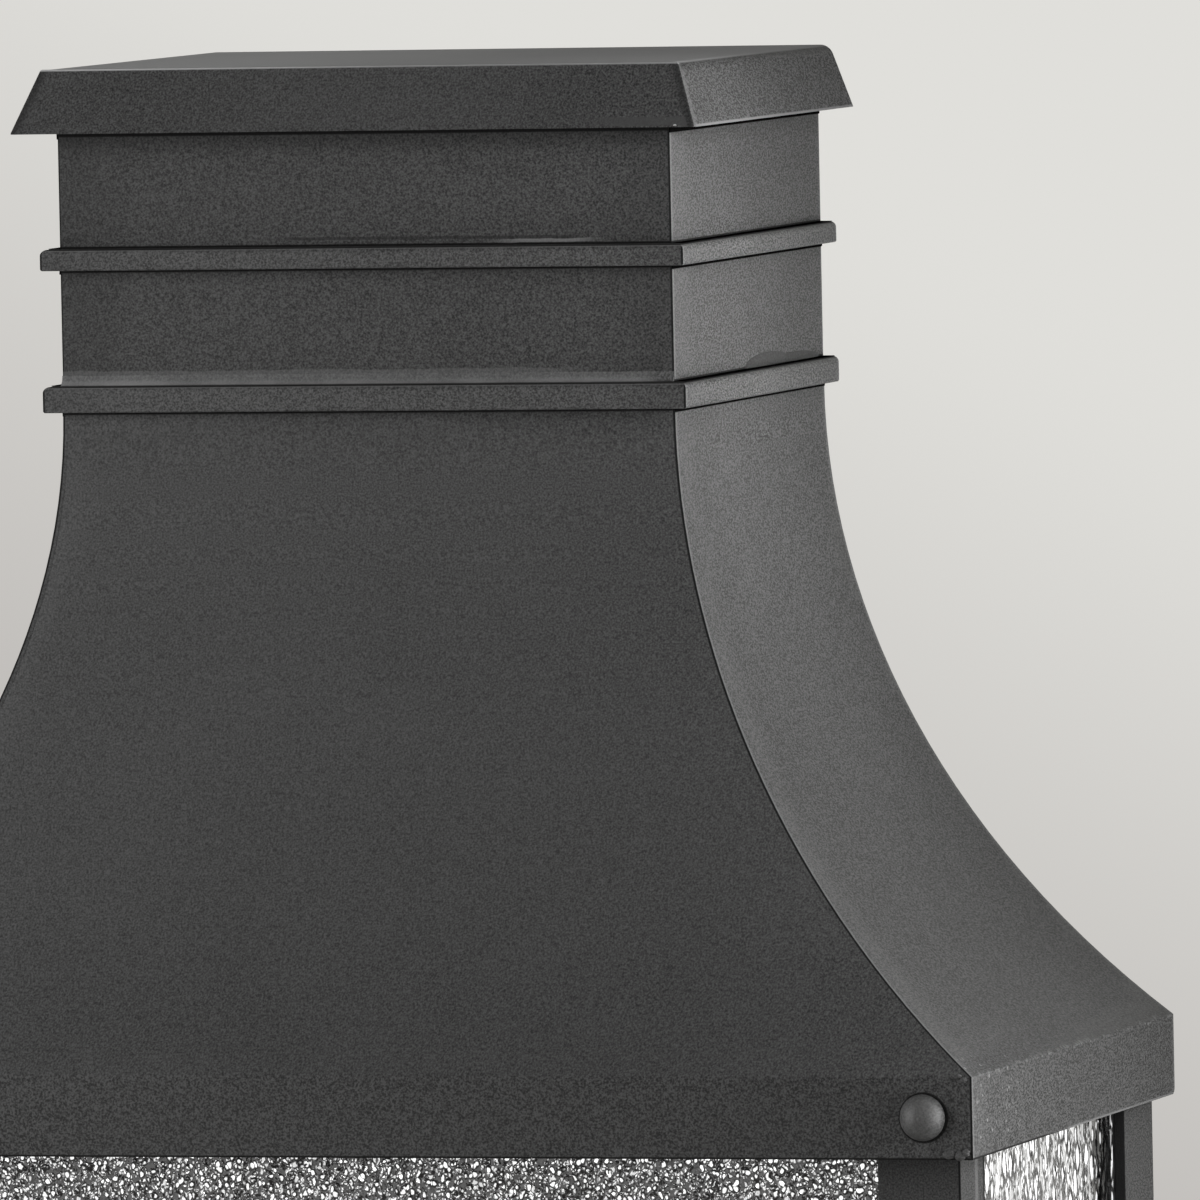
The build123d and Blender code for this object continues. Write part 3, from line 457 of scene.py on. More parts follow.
# Rim is a painted highlight along a side's front edge and its rear edge; Shade is painted shade on the front
# beside the corner
masks = {
    "Fold": maths(tree, "MULTIPLY", ramp(tree, across, *FOLD_LINE), front),
    "Rim": maths(tree, "MAXIMUM", near_rim, ramp(tree, y, *REAR_RIM)),
    "Shade": maths(tree, "MULTIPLY", ramp(tree, across, *CORNER_SHADE), front),
    "Front": front,
    "Side": side,
}
for label, mask in masks.items():
    link(tree, mask, result.inputs[label])
print("seams follow", [round(v, 3) for v in (swing_x, swing_y, flare_sine)])

# %% [markdown]
# ## Coated metals
# Eleven coats share the group. The outside coat has the full grain, the cage's is a little finer, the coat
# inside the lantern and on the wall side is plainer, and the screws are smooth painted. Pieces whose tone or
# marks differ have a coat of their own. The bands' coat and the rear posts' coat are painted lighter than the
# coats beside them, as painted light. The group only shifts colour and roughness over the surface, and gloss
# is set on the shader itself. Further marks are laid over the base colour one at a time, each where its own
# mask says.

# %% Coated materials
GLOSS_SWING = 0.10


def principled(name, **settings):
    """A new material with its node tree, its Principled shader and the shader's plain settings."""
    material = bpy.data.materials.new(name)
    material.use_nodes = True
    shader = material.node_tree.nodes["Principled BSDF"]
    for socket, value in settings.items():
        shader.inputs[socket.replace("_", " ")].default_value = value
    return material, material.node_tree, shader


def raise_relief(tree, shader, height, distance):
    """Bump a surface by a height that is one at so many metres."""
    bump = add_node(tree, "ShaderNodeBump", inputs={"Distance": distance, "Strength": 1.0})
    link(tree, height, bump.inputs["Height"])
    link(tree, bump.outputs["Normal"], shader.inputs["Normal"])


def coated(name, dark, pale, rough, bump_mm, grain, shine):
    """Powder-coated or painted metal between two near greys."""
    material, tree, shader = principled(name, Specular_IOR_Level=shine)
    coat = add_node(tree, "ShaderNodeGroup", node_tree=coat_group, inputs={"Grain": grain})
    amount = maths(tree, "ADD", coat.outputs["Tone"], 0.5, clamp=True)
    link(tree, mixed(tree, amount, shown(dark), shown(pale)), shader.inputs["Base Color"])
    gloss = maths(tree, "MULTIPLY_ADD", coat.outputs["Tone"], GLOSS_SWING, rough, clamp=True)
    link(tree, gloss, shader.inputs["Roughness"])
    raise_relief(tree, shader, coat.outputs["Height"], bump_mm * MM)
    return material


def lay_over(material, mask, colour, share=1.0):
    """Lay a share of one more colour over a material's base colour where a mask says."""
    tree = material.node_tree
    base = tree.nodes["Principled BSDF"].inputs["Base Color"]
    layer = add_node(tree, "ShaderNodeMix", data_type="RGBA", inputs={"B": colour})
    link(tree, maths(tree, "MULTIPLY", mask, share), layer.inputs["Factor"])
    link(tree, base.links[0].from_socket, layer.inputs["A"])
    link(tree, layer.outputs["Result"], base)


def black_line(material, mask, share=0.94):
    """A black line where a mask says, with the gloss taken off it."""
    tree = material.node_tree
    lay_over(material, mask, BLACK_LINE, share)
    rough = tree.nodes["Principled BSDF"].inputs["Roughness"]
    link(tree, maths(tree, "MAXIMUM", rough.links[0].from_socket, mask), rough)


def seams_of(material, reach=0.0):
    """The seam group's masks inside a material."""
    tree = material.node_tree
    return add_node(tree, "ShaderNodeGroup", node_tree=seam_group, inputs={"Reach": reach}).outputs


BLACK_LINE = shown(7)
# The tone of the painted highlights laid along edges that catch the light
EDGE_HIGHLIGHT = shown(118)
# (darkest grey, palest grey, roughness, relief in mm, grain, shine)
COATS = {
    "black_coat": (22, 81, 0.72, 0.10, 1.0, 0.25),
    "cage_coat": (24, 70, 0.72, 0.08, 1.0, 0.25),
    "inner_coat": (34, 52, 0.55, 0.03, 1.0, 0.5),
    "screw_coat": (34, 80, 0.58, 0.07, 0.8, 0.5),
    "chimney_coat": (22, 81, 0.72, 0.10, 1.15, 0.25),
    # The bands' coat is painted lighter than the chimney's, as painted light
    "lit_band_coat": (29, 91, 0.72, 0.10, 1.1, 0.25),
    "cap_coat": (19, 83, 0.80, 0.12, 1.1, 0.25),
    "weld_coat": (24, 60, 0.72, 0.06, 0.6, 0.25),
    "lump_coat": (36, 84, 0.66, 0.08, 0.8, 0.25),
    "post_coat": (24, 70, 0.72, 0.08, 1.2, 0.25),
    # The rear posts' coat is painted lighter than the front posts', as painted light
    "lit_rear_post_coat": (28, 80, 0.72, 0.08, 1.2, 0.25),
}
finish = {name: coated(name, *row) for name, row in COATS.items()}
print("coated finishes:", list(finish))

# %% [markdown]
# ## Masks for the marks
# Every mark is a mask, which says from nought to one how much of a colour lies at a point. A few helpers make
# the usual kinds. The black line under each gap is painted shadow, and the view slants down and across, so a
# gap's line has to run further down on a side than on the front to be seen. The heights of the gaps come from
# the frame's own boxes.

# %% Mask helpers


def overlap(tree, mask, *others):
    """Where all the masks overlap."""
    for other in others:
        mask = maths(tree, "MULTIPLY", mask, other)
    return mask


def between(tree, value, low, high, soft):
    """One from low to high, fading out over a soft width at each end."""
    return overlap(tree, ramp(tree, value, low - soft, low), ramp(tree, value, high + soft, high))


def below(tree, z, top):
    """One below a height."""
    return ramp(tree, z, top + 0.1 * MM, top)


def gap_line(tree, side, z, top, front_depth, side_depth):
    """Painted shadow, black from a height down: to one depth on the front and to another on the sides."""
    depth = maths(tree, "MULTIPLY_ADD", side, side_depth - front_depth, front_depth)
    under = maths(tree, "SUBTRACT", maths(tree, "SUBTRACT", top, z), depth)
    return overlap(tree, ramp(tree, under, 0.25 * MM, -0.15 * MM), below(tree, z, top))


def cells_of(tree, place, scale):
    """A Voronoi pattern: the distance from the middle of a cell, and three random levels of its own."""
    cells = add_node(tree, "ShaderNodeTexVoronoi", inputs={"Scale": scale})
    link(tree, place, cells.inputs["Vector"])
    lot = add_node(tree, "ShaderNodeSeparateColor")
    link(tree, cells.outputs["Color"], lot.inputs["Color"])
    return cells.outputs["Distance"], lot.outputs


def spatter(tree, place, per_metre, share, size):
    """Round dots in a share of the cells of a Voronoi pattern."""
    distance, lot = cells_of(tree, place, per_metre)
    chosen = maths(tree, "LESS_THAN", lot["Red"], share)
    return overlap(tree, chosen, ramp(tree, distance, size, 0.6 * size))


COVE = 2.4 * MM
LEDGE_LINE = 0.5 * MM
lower_band_top = lower_band_high.z - COVE
BAND_OVERHANG = upper_band_high.x - chimney_high.x
# How far the black strips of painted shade stand out, on the ledges and along the gaps
LEDGE_STRIP = BAND_OVERHANG - 0.9 * MM
GAP_STRIP = 0.22 * MM
LEDGE_THICK = 0.16 * MM
UNDER_BAND = (0.6 * MM, 0.95 * MM)
# (top, depth on the front, depth on the sides, how far the side's black strip of painted shade stands out)
GAP_LINES = (
    (cap_foot_z, 1.0 * MM, 1.5 * MM, GAP_STRIP),
    (upper_band_high.z + LEDGE_LINE, LEDGE_LINE, LEDGE_LINE, None),
    (upper_band_low.z, *UNDER_BAND, GAP_STRIP),
    (lower_band_top + LEDGE_LINE, LEDGE_LINE, LEDGE_LINE, None),
    (neck_z, *UNDER_BAND, GAP_STRIP),
)
# (height of the ledge, thickness of the black strip of painted shade lying on it)
LEDGES = ((upper_band_high.z, LEDGE_THICK), (lower_band_top, LEDGE_THICK))
print("gap lines at", [round(row[0], 4) for row in GAP_LINES])

# %% [markdown]
# ## Lines, rims and spatter on the sheet
# The hood and chimney get the black fold line and a painted highlight along its edge. They get painted shadow
# lines where a band or the cap meets the chimney, with a soft painted shadow under them, a painted shadow
# ring round each screw, and pale weld spatter along the crease of the side fascia, thickest near the front. A
# faint painted highlight lies on the middle of the flare's front, and the front of the fascia is painted a
# little darker as painted shade. Above the neck, a painted shade runs beside the chimney's corner. The foot
# of the side fascia shows a painted shadow line in front and a painted highlight edge behind. The front of
# the fascia has more grain than the flare above it.

# %% Marks on the sheet
screw_low, screw_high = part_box("dome_screw_right")
screw_x = (screw_low.x + screw_high.x) / 2
screw_z = (screw_low.z + screw_high.z) / 2
screw_radius = (screw_high.z - screw_low.z) / 2
SPATTER_TONE = shown(170)
# The tone of painted highlights
GLEAM_TONE = shown(120)
SPATTER_BACK = 75.0 * MM
# (cells to the metre, share of the cells that hold a dot, the dot's radius in cells)
CREASE_DOTS = (480.0, 0.20, 0.26)
FOOT_TURN = hood_low.y + 75.0 * MM
FOOT_SOFT = 15.0 * MM
FASCIA_GRAIN = 0.5
# (top, how far down the painted shadow reaches, its share of black at the top)
SOFT_SHADES = ((cap_foot_z, 6.5 * MM, 0.34), (upper_band_low.z, 4.5 * MM, 0.22))


def sheet_marks(material):
    """Spatter, painted shades and highlights, black lines, painted shadow lines and painted shadow rings
    round the screws on the hood and chimney.
    """
    tree = material.node_tree
    seams = seams_of(material)
    front, side = seams["Front"], seams["Side"]
    x, y, z = spot_in(tree)
    place = object_place(tree)

    wander = maths(tree, "MULTIPLY_ADD", noise(tree, place, 160.0, 3.0), 2.4 * MM, -1.2 * MM - crease_z)
    row = ramp(tree, maths(tree, "ABSOLUTE", maths(tree, "ADD", z, wander)), 0.5 * MM, 0.2 * MM, 0.0, 0.17)
    row = overlap(tree, row, ramp(tree, noise(tree, place, 520.0, 3.0), 0.46, 0.62))
    near = ramp(tree, y, hood_low.y + SPATTER_BACK, hood_low.y + 5 * MM, 0.0, 0.42)
    band = between(tree, z, crease_z - 14 * MM, crease_z + 1 * MM, 4 * MM)
    dots = overlap(tree, spatter(tree, place, *CREASE_DOTS), near, band)
    lay_over(material, overlap(tree, maths(tree, "MAXIMUM", row, dots), side), SPATTER_TONE)

    # Painted highlight on the middle of the flare's front, and painted shade on the front of the fascia
    flare = between(tree, z, crease_z + 40 * MM, neck_z - 8 * MM, 25 * MM)
    lay_over(material, overlap(tree, flare, front), GLEAM_TONE, 0.035)
    fascia = ramp(tree, z, crease_z + 2 * MM, crease_z - 2 * MM)
    lay_over(material, overlap(tree, fascia, front), BLACK_LINE, 0.06)
    # Painted shade beside the chimney's front corner, and painted shadows under the cap and the upper band
    upright = ramp(tree, z, neck_z - 1 * MM, neck_z + 1 * MM)
    lay_over(material, overlap(tree, seams["Shade"], upright), BLACK_LINE, 0.22)
    for top, depth, share in SOFT_SHADES:
        under = overlap(tree, ramp(tree, z, top - depth, top), below(tree, z, top))
        lay_over(material, under, BLACK_LINE, share)

    # Painted highlights along the side's edges and the rear of the side fascia's foot; painted shadow lines
    # along the front of that foot and under the front fascia
    lay_over(material, seams["Rim"], EDGE_HIGHLIGHT, 0.5)
    foot = ramp(tree, z, hood_low.z + 0.6 * MM, hood_low.z + 0.3 * MM)
    rearward = ramp(tree, y, FOOT_TURN, FOOT_TURN + FOOT_SOFT)
    lay_over(material, overlap(tree, foot, rearward, side), EDGE_HIGHLIGHT, 0.6)
    forward = ramp(tree, y, FOOT_TURN, FOOT_TURN - FOOT_SOFT)
    black_line(material, overlap(tree, foot, forward, side))
    black_line(material, overlap(tree, foot, front))
    black_line(material, seams["Fold"])
    # The gap lines are painted shadow lines
    for top, front_depth, side_depth, _ in GAP_LINES:
        black_line(material, gap_line(tree, side, z, top, front_depth, side_depth))

    # A painted shadow ring round each screw, set a little outwards
    aside = maths(tree, "SUBTRACT", maths(tree, "ABSOLUTE", x), screw_x + 0.25 * MM)
    up = maths(tree, "SUBTRACT", z, screw_z)
    away = maths(tree, "SQRT", maths(tree, "MULTIPLY_ADD", up, up, maths(tree, "MULTIPLY", aside, aside)))
    ring = ramp(tree, away, screw_radius + 0.65 * MM, screw_radius + 0.35 * MM)
    black_line(material, overlap(tree, ring, front), 0.9)


def stronger_fascia(material):
    """More grain on the front of the upright fascia than on the flare above it."""
    tree = material.node_tree
    coat = next(node for node in tree.nodes if getattr(node, "node_tree", None) == coat_group)
    _, _, z = spot_in(tree)
    fascia = ramp(tree, z, crease_z + 1 * MM, crease_z - 1 * MM)
    fascia = overlap(tree, fascia, seams_of(material)["Front"])
    link(tree, maths(tree, "MULTIPLY_ADD", fascia, FASCIA_GRAIN, 1.0), coat.inputs["Grain"])


sheet_marks(finish["black_coat"])
stronger_fascia(finish["black_coat"])
sheet_marks(finish["chimney_coat"])
print("sheet marks:", len(finish["black_coat"].node_tree.nodes), "nodes")

# %% [markdown]
# ## Marks on the bands and the welds above them
# The bands stand out from the chimney, so their corner lines run a band's overhang further out. They also get
# a painted highlight along the sides' edges, painted shade beside the front corner and black painted shade on
# their upper faces. Along the front of the lower band, its cove of weld gets a painted highlight, brighter at
# its foot, that fades out to the right. On the chimney itself a thin painted highlight runs above that cove,
# and above the upper band a short painted glint lies under a dark edge.

# %% Band and weld marks
# Tones of the painted highlight on the cove and the painted glint above the upper band
COVE_HIGHLIGHT = shown(136)
SLIVER_GLINT = shown(150)


def band_marks(material):
    """Fold line, painted highlight rim, painted corner shade, painted shade on the upper faces and a painted
    highlight on the cove above the lower band.
    """
    tree = material.node_tree
    seams = seams_of(material, BAND_OVERHANG)
    x, _, z = spot_in(tree)
    # Painted corner shade and painted highlight rim
    lay_over(material, seams["Shade"], BLACK_LINE, 0.2)
    lay_over(material, seams["Rim"], EDGE_HIGHLIGHT, 0.4)
    black_line(material, seams["Fold"])
    # The bands' upper faces are painted black as painted shade
    for top in (upper_band_high.z, lower_band_top):
        flat = maths(tree, "ABSOLUTE", maths(tree, "SUBTRACT", z, top))
        black_line(material, ramp(tree, flat, 0.35 * MM, 0.15 * MM), 1.0)
    # Painted highlight on the cove, brighter at its foot
    cove = ramp(tree, z, lower_band_top, lower_band_top + 0.3 * MM)
    short = ramp(tree, x, 71 * MM, 62 * MM)
    fade = ramp(tree, z, lower_band_high.z - 0.8 * MM, lower_band_top + 0.2 * MM, 0.26, 0.85)
    only_lower = ramp(tree, z, upper_band_low.z - MM, lower_band_high.z)
    patchy = ramp(tree, noise(tree, object_place(tree), 90.0), 0.3, 0.7, 0.55, 1.0)
    lay_over(material, overlap(tree, cove, short, fade, only_lower, patchy), COVE_HIGHLIGHT)


def weld_marks(material):
    """The welds at the chimney's front: a painted highlight run, and a painted glint under a dark edge."""
    tree = material.node_tree
    front = seams_of(material)["Front"]
    x, _, z = spot_in(tree)
    wavy = maths(tree, "MULTIPLY_ADD", noise(tree, object_place(tree), 120.0), 0.9 * MM, -0.45 * MM)
    height = maths(tree, "ADD", z, wavy)
    ledge = upper_band_high.z + LEDGE_LINE
    edge = between(tree, height, ledge + 1.15 * MM, ledge + 1.55 * MM, 0.3 * MM)
    edge = overlap(tree, edge, between(tree, x, -15 * MM, 47 * MM, 6 * MM), front)
    lay_over(material, edge, BLACK_LINE, 0.6)
    # Painted glint above the upper band
    sliver = between(tree, height, ledge + 0.2 * MM, ledge + 0.8 * MM, 0.2 * MM)
    sliver = overlap(tree, sliver, between(tree, x, 38 * MM, 48 * MM, 10 * MM), front)
    lay_over(material, sliver, SLIVER_GLINT, 0.45)
    # Painted highlight run above the cove
    foot = lower_band_high.z
    strip = ramp(tree, height, foot + 1.2 * MM, foot + 0.8 * MM)
    strip = overlap(tree, strip, ramp(tree, z, foot - 0.2 * MM, foot))
    run = overlap(tree, strip, ramp(tree, x, 58 * MM, 40 * MM), front)
    lay_over(material, run, GLEAM_TONE, 0.26)


band_marks(finish["lit_band_coat"])
weld_marks(finish["chimney_coat"])
print("band marks:", len(finish["lit_band_coat"].node_tree.nodes), "nodes")

# %% [markdown]
# ## Marks on the cap
# The cap's sides lean inwards, so its corner and its front are planes that move in with height. The cap gets
# painted shade along its mitred corner, a painted highlight on the middle of its front, and a painted
# reflection on its top, brighter towards the left. It also gets painted highlights on its side edges. At the
# right of the front plate's foot the weld was smeared smooth, and a few bright blots were left in it.

# %% Cap marks
cap_low, cap_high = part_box("cap_front_plate")
# How far the cap leans inwards for its height, at the sides and in front
CAP_LEAN_X = 5.45 / 14.4
CAP_LEAN_Y = 0.472
CAP_DOTS = (700.0, 0.55, 0.36)
SMEAR_LEFT = 52.0 * MM
SMEAR_TONE = shown(64)
# The tone of the painted reflection on the cap's top
CAP_TOP_REFLECTION = shown(146)
# Used for the bright blots in the smeared weld and for the painted reflection on the top's left
BRIGHT_TONE = shown(190)


def cap_marks(material):
    """Painted reflection on the top, painted shade along the mitred corner, painted highlights on the front's
    middle and the side edges, and a smoothed weld at the foot in front.
    """
    tree = material.node_tree
    x, y, z = spot_in(tree)
    aside = maths(tree, "ABSOLUTE", x)
    height = maths(tree, "SUBTRACT", z, cap_foot_z)
    corner = maths(tree, "MULTIPLY_ADD", height, -CAP_LEAN_X, cap_high.x)
    across = maths(tree, "SUBTRACT", corner, aside)
    behind = maths(tree, "MULTIPLY_ADD", height, -CAP_LEAN_Y, maths(tree, "SUBTRACT", y, cap_low.y))
    front = ramp(tree, behind, 0.55 * MM, 0.3 * MM)
    side = ramp(tree, behind, 0.3 * MM, 0.55 * MM)

    # Painted highlight on the middle of the front, and painted shade along the mitred corner
    centre = ramp(tree, aside, 65 * MM, 15 * MM)
    lay_over(material, overlap(tree, centre, front), GLEAM_TONE, 0.07)
    shade = ramp(tree, across, 3.0 * MM, 0.6 * MM)
    lay_over(material, overlap(tree, shade, front), BLACK_LINE, 0.6)
    smear = between(tree, height, 0.5 * MM, 2.2 * MM, 0.3 * MM)
    smear = overlap(tree, smear, ramp(tree, x, SMEAR_LEFT, SMEAR_LEFT + 12 * MM))
    smear = overlap(tree, smear, ramp(tree, across, 1.2 * MM, 1.8 * MM), front)
    lay_over(material, smear, SMEAR_TONE, 0.8)
    blots = spatter(tree, object_place(tree), *CAP_DOTS)
    blots = overlap(tree, blots, ramp(tree, across, 6.5 * MM, 4.5 * MM), smear, front)
    lay_over(material, blots, BRIGHT_TONE)

    # Painted highlights on the side edges, and painted reflection on the top, brighter towards the left
    rim = ramp(tree, behind, 4.0 * MM, 1.0 * MM, 0.0, 0.4)
    edge = ramp(tree, height, 0.7 * MM, 0.35 * MM, 0.0, 0.8)
    lay_over(material, overlap(tree, maths(tree, "MAXIMUM", rim, edge), side), EDGE_HIGHLIGHT)
    top = ramp(tree, z, cap_high.z - 0.5 * MM, cap_high.z - 0.1 * MM)
    lay_over(material, top, CAP_TOP_REFLECTION)
    lay_over(material, overlap(tree, top, ramp(tree, x, 30 * MM, -50 * MM)), BRIGHT_TONE, 0.7)


cap_marks(finish["cap_coat"])
print("cap marks:", len(finish["cap_coat"].node_tree.nodes), "nodes")

# %% [markdown]
# ## Marks on the posts
# The outer sides of the front posts show black outlines and one pale line between them, where the angle's
# skin catches the light. The front edges of the rear posts lie in the shade behind the panes.

# %% Post marks
post_low, post_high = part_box("front_right_post")
rear_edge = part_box("rear_right_post")[0].y
PALE_FROM, PALE_TO = 0.62, 0.70


def post_marks(material):
    """Black outlines and one pale line on the outer sides of the front posts."""
    tree = material.node_tree
    x, y, _ = spot_in(tree)
    across = maths(tree, "SUBTRACT", post_high.x, maths(tree, "ABSOLUTE", x))
    back = maths(tree, "SUBTRACT", y, post_low.y)
    depth = post_high.y - post_low.y
    front = ramp(tree, back, 0.5 * MM, 0.3 * MM)
    side = ramp(tree, across, 0.5 * MM, 0.3 * MM)
    pale = between(tree, back, PALE_FROM * depth, PALE_TO * depth, 0.8 * MM)
    lay_over(material, overlap(tree, pale, side), EDGE_HIGHLIGHT, 0.35)
    black_line(material, overlap(tree, ramp(tree, across, 0.6 * MM, 0.3 * MM), front))
    rear = ramp(tree, back, depth - 1.8 * MM, depth - 1.2 * MM)
    black_line(material, overlap(tree, rear, side))


def rear_post_marks(material):
    """The front edge of a rear post, in the shade behind the pane."""
    tree = material.node_tree
    _, y, _ = spot_in(tree)
    black_line(material, ramp(tree, y, rear_edge + 0.5 * MM, rear_edge + 0.2 * MM))


post_marks(finish["post_coat"])
rear_post_marks(finish["lit_rear_post_coat"])
print("post marks:", len(finish["post_coat"].node_tree.nodes), "nodes")

# %% [markdown]
# ## Black shadow strips in the joints
# Along the sides, each joint between the chimney, its bands and the cap gets a thin black strip. It is put
# there as painted shade where the joint's shadow line falls, and it reads as a black line because nothing
# shines on it. A strip is a bar laid along the chimney's side, with its long edges rounded and its line made
# a little uneven. Above a band it is spread flat over the ledge, as the ledge's painted shade. All ten are
# one piece, which rides on the hood.

# %% Joint shadow strips
STRIP_SUNK = 0.2 * MM
STRIP_RUNS = 24
STRIP_ROUND = 0.1 * MM
STRIP_ROUGH = 0.04 * MM
STRIP_SHORT = 0.4 * MM

# A black, shineless finish for the strips of painted shade
shadow_strip_black, tree, shader = principled("shadow_strip_black", Specular_IOR_Level=0.0)
place = object_place(tree)
link(tree, mixed(tree, noise(tree, place, 900.0), shown(4), shown(16)), shader.inputs["Base Color"])
link(tree, ramp(tree, noise(tree, place, 300.0), 0.3, 0.7, 0.85, 1.0), shader.inputs["Roughness"])


def start_piece(name, add_primitive, **where):
    """Deselect everything, add a primitive at its place and go into edit mode on it."""
    bpy.ops.object.select_all(action="DESELECT")
    add_primitive(**where)
    piece = bpy.context.object
    piece.name = name
    piece.data.name = name
    bpy.ops.object.transform_apply(location=True, rotation=True, scale=True)
    bpy.ops.object.mode_set(mode="EDIT")
    bpy.ops.mesh.select_all(action="SELECT")
    return piece


# Each strip is painted shade: a black bar where the joint's shadow falls
def shadow_strip(side, low, high, proud):
    """One bar along a side of the chimney between two heights, standing out by so much."""
    middle_x = side * (chimney_high.x + (proud - STRIP_SUNK) / 2)
    middle_y = (chimney_low.y + chimney_high.y) / 2
    length = chimney_high.y - chimney_low.y - STRIP_SHORT
    piece = start_piece(
        "shadow_strip",
        bpy.ops.mesh.primitive_cube_add,
        size=1.0,
        location=(middle_x, middle_y, (low + high) / 2),
        scale=(proud + STRIP_SUNK, length, high - low),
    )
    bpy.ops.mesh.select_mode(type="EDGE")
    bpy.ops.mesh.select_all(action="DESELECT")
    bpy.ops.object.mode_set(mode="OBJECT")
    for edge in piece.data.edges:
        ends = [piece.data.vertices[i].co for i in edge.vertices]
        outer = all(side * end.x > chimney_high.x for end in ends)
        edge.select = abs(ends[0].y - ends[1].y) > length / 2 and outer
    bpy.ops.object.mode_set(mode="EDIT")
    bpy.ops.mesh.bevel(offset=min(STRIP_ROUND, (high - low) / 3), segments=2)
    for cut in range(1, STRIP_RUNS):
        bpy.ops.mesh.select_all(action="SELECT")
        place = (0.0, middle_y - length / 2 + length * cut / STRIP_RUNS, 0.0)
        bpy.ops.mesh.bisect(plane_co=place, plane_no=(0.0, 1.0, 0.0))
    bpy.ops.mesh.select_all(action="SELECT")
    bpy.ops.transform.vertex_random(offset=STRIP_ROUGH, seed=int(low * 10000) % 97)
    bpy.ops.object.mode_set(mode="OBJECT")
    return piece


def join_pieces(name, parts):
    """Join finished parts into one piece."""
    bpy.ops.object.select_all(action="DESELECT")
    for part in parts:
        part.select_set(True)
    bpy.context.view_layer.objects.active = parts[0]
    bpy.ops.object.join()
    piece = bpy.context.object
    piece.name = name
    piece.data.name = name
    return piece


shadow_strip_pieces = []
for side in (1, -1):
    for top, _, side_depth, proud in GAP_LINES:
        if proud:
            shadow_strip_pieces.append(shadow_strip(side, top - side_depth, top, proud))
    for ledge, thick in LEDGES:
        shadow_strip_pieces.append(shadow_strip(side, ledge, ledge + thick, LEDGE_STRIP))
joint_shadow_strips = join_pieces("joint_shadow_strips", shadow_strip_pieces)
joint_shadow_strips.data.materials.append(shadow_strip_black)
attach(joint_shadow_strips, "hood")
print("joint beads:", len(joint_shadow_strips.data.polygons), "faces")

# %% [markdown]
# ## Weld mounds
# Where the lower band meets the chimney's side, a long low mound of weld was left and coated over. Small
# lumps sit at the front corners of the fascia, at its crease and at its foot. Each is a ball pressed flat
# against the sheet and roughened, then smoothed, and what belongs to one side is joined into one piece.

# %% Weld mounds


def mound(place, size, rough, seed):
    """A flattened lump of weld: its middle, its half sizes and how uneven it is."""
    piece = start_piece(
        "mound",
        bpy.ops.mesh.primitive_uv_sphere_add,
        segments=32,
        ring_count=16,
        radius=1.0,
        location=place,
        scale=size,
    )
    bpy.ops.transform.vertex_random(offset=rough, seed=seed)
    bpy.ops.mesh.vertices_smooth(factor=0.5, repeat=2)
    bpy.ops.object.mode_set(mode="OBJECT")
    bpy.ops.object.shade_smooth()
    return piece


# (middle, half sizes, unevenness) on the right side, in millimetres
SIDE_MOUNDS = (
    ((72.0, -48.0, 201.0), (0.7, 20.0, 2.9), 0.10),
    ((72.0, -26.0, 201.0), (0.6, 22.0, 1.9), 0.10),
)
CORNER_LUMPS = (
    ((147.2, -180.0, 31.2), (1.6, 0.8, 1.0), 0.28),
    ((149.6, -180.0, 30.9), (1.3, 0.9, 1.1), 0.28),
    ((151.0, -180.1, 31.6), (0.9, 0.7, 0.9), 0.22),
    ((149.0, -180.0, 48.6), (1.4, 0.5, 0.6), 0.22),
    ((150.7, -180.0, 47.8), (0.9, 0.5, 0.7), 0.22),
)
WELDS = (("side_weld", SIDE_MOUNDS, "weld_coat"), ("corner_lumps", CORNER_LUMPS, "lump_coat"))
for name, group, paint in WELDS:
    for word, side in (("right", 1), ("left", -1)):
        lumps = []
        for seed, (middle, half, rough) in enumerate(group):
            place = (side * middle[0] * MM, middle[1] * MM, middle[2] * MM)
            size = [v * MM for v in half]
            lumps.append(mound(place, size, rough * MM, seed + 11 * (side + 2)))
        welds = join_pieces(name + "_" + word, lumps)
        welds.data.materials.append(finish[paint])
        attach(welds, "hood")
        print(welds.name, len(welds.data.polygons), "faces")

# %% [markdown]
# ## Seeded glass
# Seeded glass is drawn with air caught in it. Up close it is a crowd of bubbles, each a bright blot with a
# black outline, because a bubble gathers light from all round and its rim bends it away. Cut into real
# bubbles it would take tens of thousands of pieces, so the crowd is two sizes of Voronoi cells, bent out of
# round by noise. The cells dome the surface. Their outlines are painted dark into the glass's colour, and
# their middles glow by emission. Both are painted light, standing in for the light a bubble gathers and bends
# away, and a weaker painted glow lies between them too. On the side panes, which are seen edge on, the
# bubbles are larger and drawn out upwards into worms.

# %% Seeded glass
BEND_PER_METRE = 420.0
BEND = 2.2 * MM
SEED_LEAST = 0.22
SEED_SPREAD = 0.18
RING = 0.14

glass_group, given, result = new_group(
    "seeds", {"Across": 650.0, "Up": 520.0, "Share": 0.75}, ("Seed", "Outline", "Height")
)
tree = glass_group
place = object_place(tree)
bend = add_node(tree, "ShaderNodeTexNoise", inputs={"Scale": BEND_PER_METRE, "Detail": 2.0})
link(tree, place, bend.inputs["Vector"])
centred = vector_maths(tree, "SUBTRACT", bend.outputs["Color"], (0.5, 0.5, 0.5))
bent = vector_maths(tree, "MULTIPLY_ADD", centred, (BEND, BEND, BEND), place)
pitch = add_node(tree, "ShaderNodeCombineXYZ")
for axis, label in (("X", "Across"), ("Y", "Across"), ("Z", "Up")):
    link(tree, given.outputs[label], pitch.inputs[axis])
distance, lot = cells_of(tree, vector_maths(tree, "MULTIPLY", bent, pitch.outputs[0]), 1.0)
kept = maths(tree, "LESS_THAN", lot["Red"], given.outputs["Share"])
